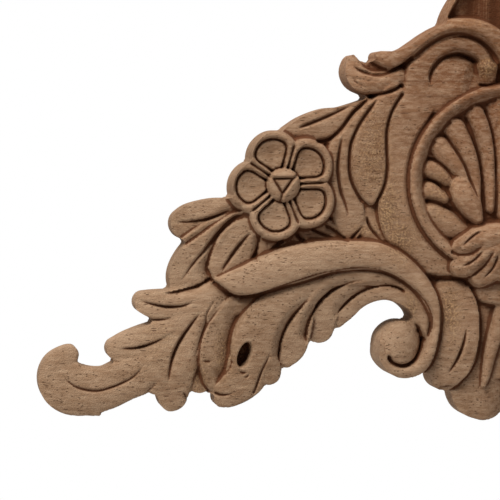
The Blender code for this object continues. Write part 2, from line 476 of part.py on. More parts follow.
def foot(r):
    """Leaf beside the scroll, round lobe at the foot, stamen and drop under the cup."""
    r.leaf([(-19.0, -34, 5.6, 11.8), (-17.2, -40, 6.3, 13.0), (-16.8, -45, 6.4, 13.4), (-16.9, -50, 6.2, 13.4),
            (-18.4, -55, 6.5, 13.0), (-21.8, -59.6, 6.0, 11.6)], crown=0.4, edge=1.0)
    r.vee([(-15.1, -45.4), (-15.7, -49.6), (-17, -53.8), (-18.5, -56.8), (-20.6, -60.2)], 1.7, 2.1, (0.5, 0.5))
    r.leaf([(-3, -47, 7.0, 9.8), (-5, -56, 8.0, 9.8), (-12.0, -64.9, 8.2, 9.6), (-8.2, -66.3, 9.3, 9.6)],
           crown=0.4, edge=1.0)
    r.leaf([(-2.6, -36, 2.0, 12.0), (-3.4, -42, 2.2, 12.2), (-5.0, -48, 2.2, 12.2), (-6.6, -54, 1.8, 11.9),
            (-7.9, -61, 1.3, 11.4), (-8.6, -64.4, 0.7, 10.8)], crown=0.7, edge=1.0)
    r.leaf([(-8.4, -33.6, 3.9, 13.0), (-4.0, -33.8, 4.5, 13.4)], crown=0.8, edge=1.6)
    r.tuck([(-17.5, -64.2), (-14, -60.8), (-11.8, -55.5), (-10.6, -50), (-10.3, -45), (-10.6, -40), (-11.6, -36),
            (-13.6, -32.2)], 2.4, 1.6, (0.3, 0))
    r.tuck([(-25.2, -65.8), (-22.5, -64.6), (-19.5, -64.2), (-16.8, -64.2), (-14.4, -61.6)][::1], 2.4, 1.0, (0.2, 0.4))


def ring_and_shell(r):
    """Oval ring with a skirt outside it and a ribbed shell within."""
    s = SKIRT_TOP
    r.leaf([(-20, 29, 3.6, s - 0.4), (-29, 28, 5.6, s - 0.2), (-34, 20, 5.6, s), (-36.6, 10, 5.0, s + 0.2),
            (-37.0, 0, 5.2, s + 0.2), (-37.4, -7, 5.8, s), (-36, -13.5, 6.0, s - 0.2), (-31.0, -19.8, 6.0, s - 0.4),
            (-25.2, -24.1, 4.8, s - 0.6), (-20, -26.2, 3.6, s - 0.8)], crown=0.5, edge=1.2)
    r.tuck([(-28, -28.3), (-25, -29.0), (-20, -29.3), (-15.5, -30.4), (-13.2, -32.2)], 2.6, 2.2, (0.15, 0.1))
    span = np.hypot(r.x / RING_HALF_WIDTH, (r.z - RING_AT) / RING_HALF_HEIGHT)
    inside = (1.0 - span) * 0.49 * (RING_HALF_WIDTH + RING_HALF_HEIGHT)
    drop = np.clip((inside - 0.9) / (RING_BAND - 0.9), 0.0, 1.0) ** 1.7
    h = RING_TOP - (RING_TOP - RING_FLOOR) * drop
    h = np.where(inside < 0.0, RING_TOP + WALL_SLOPE * inside, h)
    r.h = np.maximum(r.h, h)
    r.foot = np.maximum(r.foot, np.where(inside > -3.0, inside, -40.0))
    under = np.clip(1.0 + inside / 2.1, 0.0, 1.0) ** 1.4 * (inside < 0.0)
    r.h = r.h - 1.9 * under * np.clip((r.z + 25.5) / 3.0, 0.0, 1.0) * np.clip((27.0 - r.z) / 9.0, 0.0, 1.0)
    ribs = [
        [(-2.8, -10, 2.4, 11.8), (-2.8, 0, 2.8, 12.0), (-3.2, 12, 3.2, 12.4), (-4.2, 20, 3.7, 12.4),
         (-5.0, 24.0, 3.6, 12.0)],
        [(-7.4, -8, 1.4, 12.0), (-7.5, -1, 1.9, 12.2), (-7.8, 4, 2.2, 12.4), (-8.2, 9, 2.5, 12.6),
         (-9.5, 14, 2.9, 12.8), (-10.8, 18, 3.1, 12.8), (-12.3, 21.9, 3.0, 12.2)],
        [(-11.4, -6, 1.0, 12.2), (-12.4, 1, 1.9, 12.6), (-13.2, 4.5, 2.3, 12.8), (-14.4, 8, 2.7, 13.0),
         (-16.2, 12, 3.1, 13.0), (-18.9, 17.3, 3.5, 12.4)],
        [(-14.6, -0.5, 1.6, 12.6), (-17.3, 3.6, 2.3, 12.8), (-19.4, 6.4, 2.8, 13.0), (-21.6, 9.0, 3.0, 12.8),
         (-23.8, 11.8, 3.1, 12.4)],
    ]
    for rib in ribs:
        r.leaf(rib, crown=1.8, tilt=-0.7, edge=1.4, foot=False)
    small = [
        [(-21.2, 1.2, 1.8, 12.2), (-23.8, 3.4, 2.5, 12.4), (-26.2, 4.8, 2.8, 12.2)],
        [(-22.4, -4.6, 1.8, 12.2), (-24.6, -3.2, 2.5, 12.4), (-26.8, -2.0, 2.8, 12.2)],
        [(-16.6, -14.4, 3.0, 12.0), (-20.6, -12.6, 4.1, 12.2), (-24.4, -10.0, 3.4, 12.2), (-26.6, -8.2, 2.4, 12.0)],
    ]
    for lobe in small:
        r.leaf(lobe, crown=1.6, edge=1.4, foot=False)
    r.leaf([(-11.6, -11.0, 1.8, 14.0), (-13.9, -6.6, 3.4, 14.4), (-16.0, -3.0, 3.8, 14.6), (-17.2, -0.4, 3.2, 14.0)],
           crown=1.6, edge=1.6, foot=False)
    grooves = [
        [(-22.3, 16.0), (-19.5, 12), (-17.2, 8), (-15.5, 5), (-14.3, 1.5), (-12.8, -2), (-11, -6)],
        [(-15.4, 21.4), (-13.5, 17.5), (-12.2, 13), (-10.8, 8), (-10.2, 4), (-9.8, -1)],
        [(-8.9, 23.6), (-7.4, 18.5), (-6.4, 13.5), (-5.8, 7), (-5.6, -2)],
        [(-27.6, 8.6), (-24, 6.7), (-22, 5.2), (-19.6, 2.6)],
        [(-28.6, 1.7), (-25.5, 0.8), (-23.5, -0.6), (-22.3, -2.6)],
    ]
    for groove in grooves:
        r.vee(groove, 1.3, 1.5, (0.05, 0.2))
    r.vee([(-28.4, -5.2), (-25, -5.4), (-22, -6.7), (-18.5, -9), (-15.5, -12), (-13, -12.8)], 2.4, 1.4, (0.05, 0.1))


def petal_reach(r):
    """Distance inside the five round petals, and the offsets from the flower's middle."""
    dx = r.x - FLOWER_AT[0]
    dz = r.z - FLOWER_AT[1]
    body = 9.0 - np.hypot(dx, dz)
    for k in range(PETALS):
        a = math.radians(PETAL_FIRST + 360.0 / PETALS * k)
        d = np.hypot(dx - PETAL_REACH * math.cos(a), dz - PETAL_REACH * math.sin(a))
        body = np.maximum(body, PETAL_RADIUS - d)
    return dx, dz, body


def flower(r):
    dx, dz, body = petal_reach(r)
    h = FLOWER_TOP + 1.0 - 0.9 * fall(1.0 - np.clip(body / 1.1, 0.0, 1.0))
    h = np.where(body < 0.0, h + 4.5 * body, h)
    r.h = np.where(body > -3.0, np.maximum(np.where(body > -0.2, -20.0, r.h), h), r.h)
    r.foot = np.maximum(r.foot, np.where(body > -3.0, body + 0.7, -40.0))


def flower_detail(r):
    """Sunk petal fields, the grooves between petals and the three-sided boss."""
    dx, dz, body = petal_reach(r)
    away = np.hypot(dx, dz)
    h = r.h
    outside = away > BOSS_RADIUS
    groove = PETAL_GROOVE * (1.0 + 0.7 * np.clip((8.0 - away) / 2.0, 0.0, 1.0))
    for k in range(PETALS):
        a = math.radians(PETAL_FIRST + 360.0 / PETALS * k)
        px = dx * math.cos(a) + dz * math.sin(a)
        pz = -dx * math.sin(a) + dz * math.cos(a)
        half = math.pi / PETALS
        side = px * math.sin(half) - np.abs(pz) * math.cos(half) - PETAL_WEB
        loop = PETAL_RADIUS - PETAL_RIM - np.hypot(px - PETAL_REACH, pz)
        loop = np.where(px < PETAL_REACH, PETAL_RADIUS - PETAL_RIM - np.abs(pz), loop)
        corner = np.hypot(np.minimum(side - 1.6, 0.0), np.minimum(loop - 1.6, 0.0))
        d = np.where((side < 1.6) & (loop < 1.6), 1.6 - corner, np.minimum(side, loop))
        d = np.where(outside, d, -5.0)
        h = h - groove * np.clip(1.0 - np.abs(d) / PETAL_GROOVE_HALF, 0.0, 1.0)
        h = np.where(d > 0.0, h - 1.1 - 0.8 * np.clip(d / 3.5, 0.0, 1.0), h)
        b = a + math.pi / PETALS
        qx = dx * math.cos(b) + dz * math.sin(b)
        qz = -dx * math.sin(b) + dz * math.cos(b)
        fade = np.clip((13.4 - qx) / 1.5, 0.0, 1.0) * (qx > BOSS_RADIUS)
        h = h - groove * fade * np.clip(1.0 - np.abs(qz) / PETAL_GROOVE_HALF, 0.0, 1.0)
    corners = [(-3.5, 2.0), (3.0, 2.1), (-0.6, -2.8)]
    away_from_side = np.full(dx.shape, -1e9)
    lines = np.zeros(dx.shape)
    for i in range(3):
        x0, z0 = corners[i]
        x1, z1 = corners[(i + 1) % 3]
        length = math.hypot(x1 - x0, z1 - z0)
        t = np.clip(((dx - x0) * (x1 - x0) + (dz - z0) * (z1 - z0)) / length ** 2, 0.0, 1.0)
        d = np.hypot(dx - x0 - t * (x1 - x0), dz - z0 - t * (z1 - z0))
        lines = np.maximum(lines, np.clip(1.0 - d / PETAL_GROOVE_HALF, 0.0, 1.0))
        reach = math.hypot(x0, z0)
        along = (dx * x0 + dz * z0) / reach
        across = np.abs(dx * z0 - dz * x0) / reach
        arm = np.clip(1.0 - across / PETAL_GROOVE_HALF, 0.0, 1.0) * (along > reach)
        lines = np.maximum(lines, arm)
        side = ((z1 - z0) * (dx - x0) - (x1 - x0) * (dz - z0)) / -length
        away_from_side = np.maximum(away_from_side, side)
    facets = FLOWER_TOP + 2.4 - BOSS_SLOPE * np.maximum(away_from_side, 0.0)
    facets = np.where(away_from_side < 0.0, facets - 0.7, facets)
    facets = facets - 0.5 * fall(np.clip(away / BOSS_RADIUS, 0.0, 1.0))
    h = np.where(away < BOSS_RADIUS, facets - PETAL_GROOVE * lines, h)
    h = h - 0.9 * np.clip(1.0 - np.abs(away - BOSS_RADIUS) / PETAL_GROOVE_HALF, 0.0, 1.0)
    r.h = h


def volute(r):
    """The turned-over top leaf with its hook, the bands of the volute and the knob."""
    r.leaf([(-51.5, 37.0, 2.4, 8.2), (-47.5, 36.4, 2.3, 7.8), (-43.5, 37.2, 2.8, 8.0)], crown=0.4, edge=0.9)
    r.leaf([(-37, 33.4, 3.4, 11.6), (-41, 31.9, 3.4, 12.0), (-46, 31.8, 3.4, 11.8), (-50.0, 33.4, 3.9, 11.0),
            (-51.7, 35.6, 3.8, 10.4), (-52.1, 37.8, 2.9, 9.8), (-52.0, 39.0, 2.1, 9.4)], crown=1.2, edge=1.6)
    r.leaf([(-44.3, 40.5, 1.8, 11.5), (-40, 39.6, 2.8, 12.8), (-36, 40.8, 2.9, 13.6), (-32, 43.0, 3.2, 14.2),
            (-28, 45.7, 3.2, 14.6), (-23.5, 48.2, 2.9, 15.0), (-17, 49.2, 2.5, 15.2), (-11, 48.4, 2.7, 15.2),
            (-6, 45.6, 2.9, 15.0), (-2.4, 41.4, 3.0, 14.6), (-0.2, 36.5, 2.8, 14.2)], crown=0.9, edge=1.1)
    r.leaf([(-30.2, 26, 5.0, 13.0), (-30.2, 34, 4.4, 13.2), (-28, 39.4, 3.7, 13.4), (-23.6, 43.2, 3.3, 13.6),
            (-17, 44.6, 3.0, 13.6), (-11, 42.8, 3.0, 13.4), (-7.6, 39.2, 2.8, 13.0)], crown=0.6)
    r.leaf([(-24.5, 27.5, 5.0, 13.0), (-17, 29.8, 3.6, 12.6)], crown=0.3)
    r.leaf([(-20.5, 29, 6.4, 12.6), (-18.4, 33.4, 8.0, 12.6)], crown=1.3)
    r.leaf([(-8.2, 32.6, 2.6, 11.8), (-8.3, 36.8, 3.0, 13.6)])
    r.vee([(-51.4, 37.3), (-49.5, 35.8), (-47, 34.9), (-44.5, 34.3), (-42, 34.5), (-39.5, 35.3), (-36.5, 37.0),
           (-33, 39.6)], 1.9, 2.2, (0.3, 0))
    r.vee([(-39.5, 35.3), (-36, 37.2), (-32, 40.2), (-29, 42.7), (-26, 44.8), (-22, 46.7), (-18, 47.3),
           (-14, 46.6), (-10.5, 44.8), (-8, 42.6), (-6.2, 39.8), (-5.4, 37.4)], 3.2, 2.6, (0.2, 0.1))
    r.vee([(-27.0, 31.2), (-26.9, 34), (-25.7, 37), (-23.4, 39.6), (-20, 41.1), (-17, 41.4), (-14, 40.2),
           (-11.2, 38.4)], 2.2, 2.2, (0.2, 0.05))
    r.vee([(-15.6, 28.6), (-13.6, 32), (-12.4, 35), (-11.6, 38.4)], 7.0, 1.5, (0.5, 0.3))
    r.vee([(-51, 28.0), (-47, 27.8), (-44, 28), (-42, 28.5), (-39, 29.5), (-36.2, 30.9)], 1.8, 2.8, (0, 0))
    r.vee([(-52.2, 33.4), (-50, 33.0), (-47, 32.6), (-43, 32.4)], 0.8, 0.5, (0.1, 0.8))
    r.vee([(-51.6, 32.8), (-49.6, 31.4), (-47, 30.0)], 0.9, 0.7, (0.1, 0.7))
    r.vee([(-45.2, 38.9), (-43.8, 37.6), (-41.8, 36.7)], 1.0, 1.0, (0.1, 0.5))
    r.vee([(-11.5, 31.4), (-8, 30.9), (-4, 31.6), (0, 32.4)], 1.6, 2.0, (0.2, 0))


def crest(r):
    """Pointed arch at the corner: a rim round a sunk, gently fluted field."""
    inside = CREST_ARC_RADIUS - np.hypot(r.x - CREST_ARC_AT[0], r.z - CREST_ARC_AT[1])
    inside = np.where((r.z > 40.0) & (r.x <= 0.0), inside, -40.0)
    rim = CREST_TOP_LEVEL - 0.9 * fall(1.0 - np.clip(inside / 1.2, 0.0, 1.0))
    field = CREST_FLOOR + 0.5 * np.cos(r.x * math.pi / CREST_FLUTE) + 0.05 * (r.z - 50.0)
    h = np.where(inside > CREST_RIM, np.maximum(field, rim - 4.0 * (inside - CREST_RIM)), rim)
    h = np.where(inside < 0.0, h + WALL_SLOPE * inside, h)
    r.h = np.where(inside > -6.0, np.maximum(r.h, h), r.h)
    r.foot = np.maximum(r.foot, inside)


def cup(r):
    """The leafy cup that holds the shell, highest part of the carving."""
    r.sheet([
        [(0, -16.2, 3.2, 18.4), (-7.5, -16.6, 3.4, 18.0), (-12.5, -18.4, 4.0, 17.0), (-16.4, -19.9, 3.0, 15.8),
         (-18.3, -20.5, 1.8, 15.0)],
        [(-4, -20, 3.0, 18.2), (-9.5, -22.6, 3.4, 17.6), (-13.6, -25.0, 3.6, 16.6), (-17.4, -26.0, 3.1, 15.2)],
        [(0, -24, 3.2, 18.2), (-4, -25, 3.6, 17.6), (-8, -27.3, 3.6, 16.6), (-10.9, -29.4, 3.0, 15.4)],
        [(0, -26.4, 3.4, 17.6), (-4.4, -27.2, 3.2, 16.8)]], crown=1.2, edge=1.4, melt=1.2)
    creases = [
        [(-17.4, -19.6), (-15, -17.2), (-13, -15.6), (-11, -14.5)],
        [(-17.4, -26.0), (-14.5, -24.5), (-12.5, -22.8), (-10.8, -20.8)],
        [(-10.4, -29.6), (-8, -27), (-6.7, -24.5), (-6.2, -22)],
        [(-3.6, -29.6), (-3.0, -26.5), (-2.8, -23)],
    ]
    for crease in creases:
        r.vee(crease, 1.1, 1.3)
    r.tuck([(-20.6, -21.6), (-17, -22.4), (-14, -21.8), (-12, -20.2), (-10.8, -18.6)][::-1], 2.6, 1.3, (0.3, 0))
    r.tuck([(-14.4, -29.6), (-11, -26.6), (-9, -24), (-8, -22), (-7.6, -20.4)][::-1], 2.4, 1.2, (0.3, 0))


def eye_hole(r):
    a = math.radians(EYE_HOLE_LEAN)
    dx = r.x - EYE_HOLE_AT[0]
    dz = r.z - EYE_HOLE_AT[1]
    q = np.hypot((dx * math.cos(a) + dz * math.sin(a)) / EYE_HOLE_LONG,
                 (dz * math.cos(a) - dx * math.sin(a)) / EYE_HOLE_SHORT)
    r.h = r.h - EYE_HOLE_DEPTH * np.clip((1.08 - q) / 0.25, 0.0, 1.0)


def carve(step):
    r = Relief(step)
    bed(r)
    arm_leaf(r)
    eyed_leaf(r)
    arch_lobes(r)
    side_leaves(r)
    falling_leaves(r)
    stem_and_scroll(r)
    foot(r)
    ring_and_shell(r)
    flower(r)
    volute(r)
    crest(r)
    cup(r)
    r.round_valleys()
    set_in_sides(r)
    flower_detail(r)
    r.cut_tucks()
    r.cut_vees()
    eye_hole(r)
    r.h = soften(r.h, SOFTEN / step)
    return r


def mirrored(r):
    """Both halves of the fields; the middle column is x = 0."""
    mid = int(np.argmin(np.abs(r.x[0])))
    left = slice(0, mid + 1)
    x = np.hstack([r.x[:, left], -r.x[:, mid - 1::-1]])
    z = np.hstack([r.z[:, left], r.z[:, mid - 1::-1]])
    h = np.hstack([r.h[:, left], r.h[:, mid - 1::-1]])
    foot_in = np.hstack([r.foot[:, left], r.foot[:, mid - 1::-1]])
    return x, z, h, foot_in


def kept_cells(foot_in, step):
    """Grid cells inside the outline, with no two cells meeting at a corner only."""
    ok = foot_in > -0.45 * step
    cells = ok[:-1, :-1] & ok[:-1, 1:] & ok[1:, :-1] & ok[1:, 1:]
    for _ in range(20):
        a = cells[:-1, :-1]
        b = cells[:-1, 1:]
        c = cells[1:, :-1]
        d = cells[1:, 1:]
        one = a & d & ~b & ~c
        two = b & c & ~a & ~d
        if not (one.any() or two.any()):
            break
        b |= one
        a |= two
    return cells


def solid(name, r):
    """Closed mesh between the relief and the flat back, in metres."""
    x, z, h, foot_in = mirrored(r)
    cells = kept_cells(foot_in, r.step)
    gz, gx = np.gradient(foot_in, r.step)
    used = np.zeros(x.shape, bool)
    touch = np.zeros(x.shape, int)
    for di in (0, 1):
        for dj in (0, 1):
            part = touch[di:di + cells.shape[0], dj:dj + cells.shape[1]]
            part += cells
    used = touch > 0
    rim = used & (touch < 4)
    size = np.clip(gx * gx + gz * gz, 0.25, None)
    move = np.where(rim, foot_in, 0.0)
    move = np.clip(move, -1.2 * r.step, 1.2 * r.step)
    px = x - move * gx / size
    pz = z - move * gz / size
    index = np.full(x.shape, -1)
    index[used] = np.arange(used.sum())
    count = int(used.sum())
    front = np.column_stack([px[used], -h[used], pz[used]]) * MM
    back = np.column_stack([px[used], np.zeros(count), pz[used]]) * MM
    a = index[:-1, :-1][cells]
    b = index[:-1, 1:][cells]
    c = index[1:, 1:][cells]
    d = index[1:, :-1][cells]
    ha = h[:-1, :-1][cells]
    hb = h[:-1, 1:][cells]
    hc = h[1:, 1:][cells]
    hd = h[1:, :-1][cells]
    flip = np.abs(ha - hc) > np.abs(hb - hd)
    t1 = np.where(flip[:, None], np.column_stack([a, b, d]), np.column_stack([a, b, c]))
    t2 = np.where(flip[:, None], np.column_stack([b, c, d]), np.column_stack([a, c, d]))
    top = np.vstack([t1, t2])
    under = top[:, ::-1] + count
    edges = np.vstack([top[:, [0, 1]], top[:, [1, 2]], top[:, [2, 0]]])
    key = edges[:, 0].astype(np.int64) * count + edges[:, 1]
    twin = edges[:, 1].astype(np.int64) * count + edges[:, 0]
    open_edge = edges[~np.isin(key, twin)]
    p = open_edge[:, 0]
    q = open_edge[:, 1]
    wall = np.vstack([np.column_stack([q, p, p + count]), np.column_stack([q, p + count, q + count])])
    mesh = bpy.data.meshes.new(name)
    mesh.from_pydata(np.vstack([front, back]).tolist(), [], np.vstack([top, under, wall]).tolist())
    mesh.update()
    return mesh


def thinned(mesh, name, triangles):
    """Fewer triangles, the same on both sides of the middle."""
    raw = bpy.data.objects.new(name + "_full", mesh)
    bpy.context.scene.collection.objects.link(raw)
    less = raw.modifiers.new("fewer", "DECIMATE")
    less.ratio = triangles / len(mesh.polygons)
    less.use_symmetry = True
    less.symmetry_axis = "X"
    less.use_collapse_triangulate = True
    bpy.context.view_layer.update()
    done = bpy.data.meshes.new_from_object(raw.evaluated_get(bpy.context.evaluated_depsgraph_get()))
    done.name = name
    bpy.data.objects.remove(raw)
    bm = bmesh.new()
    bm.from_mesh(done)
    bmesh.ops.dissolve_degenerate(bm, dist=0.00002, edges=bm.edges)
    bmesh.ops.triangulate(bm, faces=bm.faces)
    for v in bm.verts:
        if v.co.y > -0.0004:
            v.co.y = 0.0
    bmesh.ops.recalc_face_normals(bm, faces=bm.faces)
    bm.to_mesh(done)
    bm.free()
    return done


def wood_material():
    mat = bpy.data.materials.new("carved_wood")
    mat.use_nodes = True
    shader = mat.node_tree.nodes["Principled BSDF"]
    shader.inputs["Base Color"].default_value = WOOD
    shader.inputs["Roughness"].default_value = 0.7
    return mat


def main():
    for ob in list(bpy.data.objects):
        bpy.data.objects.remove(ob)
    mesh = thinned(solid("corner_onlay", carve(GRID)), "corner_onlay", TRIANGLES)
    mesh.materials.clear()
    mesh.materials.append(wood_material())
    mesh.shade_smooth()
    mesh.set_sharp_from_angle(angle=math.radians(38.0))
    ob = bpy.data.objects.new("corner_onlay", mesh)
    bpy.context.scene.collection.objects.link(ob)


main()
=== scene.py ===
"""Looks of a carved wooden corner onlay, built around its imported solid.

The carving is one surface: a height over the flat back, worked out on a fine grid with
numpy from the sizes of each leaf, scroll and groove, then mirrored and thinned.
"""
import math

import bmesh
import bpy
import numpy as np
from mathutils import Matrix, Vector


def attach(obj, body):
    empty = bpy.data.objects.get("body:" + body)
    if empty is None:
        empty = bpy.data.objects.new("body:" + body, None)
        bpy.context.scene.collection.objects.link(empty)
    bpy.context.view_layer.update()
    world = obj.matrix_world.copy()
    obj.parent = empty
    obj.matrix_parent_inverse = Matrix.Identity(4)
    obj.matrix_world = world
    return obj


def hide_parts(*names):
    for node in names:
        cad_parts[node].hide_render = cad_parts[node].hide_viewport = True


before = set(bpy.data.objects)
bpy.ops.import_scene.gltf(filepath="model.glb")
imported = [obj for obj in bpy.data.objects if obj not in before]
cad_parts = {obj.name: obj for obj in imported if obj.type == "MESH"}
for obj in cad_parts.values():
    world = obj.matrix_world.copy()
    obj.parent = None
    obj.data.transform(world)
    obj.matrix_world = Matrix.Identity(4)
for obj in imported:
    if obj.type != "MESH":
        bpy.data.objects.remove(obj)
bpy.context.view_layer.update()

bl_info = {
    "name": "Carved corner onlay",
    "version": (1, 0, 0),
    "blender": (4, 5, 0),
    "location": "View3D > Sidebar > Onlay",
    "description": "Builds the fine carving, raw wood finish and studio of a corner onlay",
    "category": "Add Mesh",
}

MM = 0.001
NODE = "corner_onlay"

# plan and height sizes, millimetres
GRID = 0.33
HALF_WIDTH = 150.8
FOOT_LOW = -75.6
CREST_TOP = 75.9
MARGIN = 2.5  # clear grid round the outline
OUTSIDE = -40.0  # level and inside distance where nothing is carved
FAR_OUT = -1e9  # lower than any of them
WALL_SLOPE = 4.5  # level lost with each millimetre past an edge
CUTTER = 0.45  # radius of the ball cutter
TUCK_LIP = 0.35  # how far a tuck reaches under the face left of its line
NOTCH_RADIUS = 1.0  # radius the saw leaves in a notch of the outline
EDGE_ROUND = 0.45
EDGE_DROP = 0.8  # share of its rounding by which an edge drops
NARROWEST_VEE = 1.1
TIP_DROOP = 0.05
SOFTEN = 0.16
# the strokes reach out to the foot of the side walls as seen from the lower right; this much of
# the height is taken off again on the sides that face left and up
WALL_SEEN_LEFT = 0.156
WALL_SEEN_UP = 0.045
TRIANGLES = 190000

STEM_TOP = 16.6
SCROLL_EYE = (-37.2, -50.3)
SCROLL_EYE_RADIUS = 8.1
SCROLL_EYE_TOP = 12.8
SKIRT_TOP = 13.2

FLOWER_AT = (-74.0, 0.0)
FLOWER_TOP = 14.2
PETALS = 5
PETAL_RADIUS = 8.25
PETAL_REACH = 9.2
PETAL_FIRST = 39.0
PETAL_RIM = 2.4
PETAL_WEB = 1.62
PETAL_DISC = 9.0  # radius of the disc that joins the petals
PETAL_GROOVE = 1.8
PETAL_GROOVE_HALF = 0.75
PETAL_SEAM_END = 13.4  # the grooves between petals stop at this radius
FIELD_CORNER = 1.6  # corner radius of a petal's sunk field
FIELD_STEP = 1.1
FIELD_DISH = 0.8
BOSS_RADIUS = 5.3
BOSS_RISE = 2.4
BOSS_SLOPE = 0.42
BOSS_SINK = 0.7
BOSS_TRIANGLE = [(-3.5, 2.0), (3.0, 2.1), (-0.6, -2.8)]

RING_HALF_WIDTH = 33.6
RING_HALF_HEIGHT = 30.4
RING_AT = 1.0
RING_TOP = 15.4
RING_BAND = 4.6
RING_FLOOR = 11.0
RING_SHOULDER = 0.9
RING_LINE_WIDTH = 2.1
RING_LINE_DEPTH = 1.9
RING_LINE_LOW = -25.5  # the line round the ring fades in over 3 mm above this height
RING_LINE_HIGH = 27.0  # and fades out over 9 mm below this one

CREST_ARC_AT = (15.9, 35.5)
CREST_ARC_RADIUS = 43.4
CREST_RIM = 2.2
CREST_TOP_LEVEL = 13.4
CREST_FLOOR = 9.8
CREST_FLUTE = 4.2

EYE_HOLE_AT = (-86.0, -53.1)
EYE_HOLE_LONG = 4.0
EYE_HOLE_SHORT = 1.85
EYE_HOLE_LEAN = 71.6
EYE_HOLE_DEPTH = 7.0


def curve(knots, steps=7):
    """Smooth curve through a few knots; every column is carried along."""
    k = np.asarray(knots, float)
    if len(k) == 2:
        t = np.linspace(0.0, 1.0, steps + 1)[:, None]
        return k[0] * (1.0 - t) + k[1] * t
    p = np.vstack([2.0 * k[0] - k[1], k, 2.0 * k[-1] - k[-2]])
    rows = []
    for i in range(1, len(p) - 2):
        a, b, c, d = p[i - 1], p[i], p[i + 1], p[i + 2]
        for t in np.linspace(0.0, 1.0, steps, endpoint=False):
            rows.append(0.5 * (2.0 * b + (c - a) * t + (2.0 * a - 5.0 * b + 4.0 * c - d) * t * t
                               + (3.0 * b - a - 3.0 * c + d) * t ** 3))
    rows.append(k[-1])
    return np.array(rows)


def fall(q):
    """Quarter-round drop, 0 inside and 1 at the very edge."""
    return 1.0 - np.sqrt(np.clip(1.0 - q * q, 0.0, 1.0))


def turned(dx, dz, angle):
    """Offsets measured along an angle and across it."""
    return dx * math.cos(angle) + dz * math.sin(angle), -dx * math.sin(angle) + dz * math.cos(angle)


def faded(place, taper, power):
    """1 along a stroke, going to 0 over its tapers, which are shares of its length."""
    k = np.ones_like(place)
    for way, share in ((place, taper[0]), (1.0 - place, taper[1])):
        if share > 0.0:
            k = np.minimum(k, np.clip(way / share, 0.0, 1.0) ** power)
    return k


def polar(centre, knots):
    """Knots given as angle, radius, half width, height about a centre."""
    rows = []
    for angle, radius, half, top in knots:
        a = math.radians(angle)
        rows.append((centre[0] + radius * math.cos(a), centre[1] + radius * math.sin(a), half, top))
    return rows


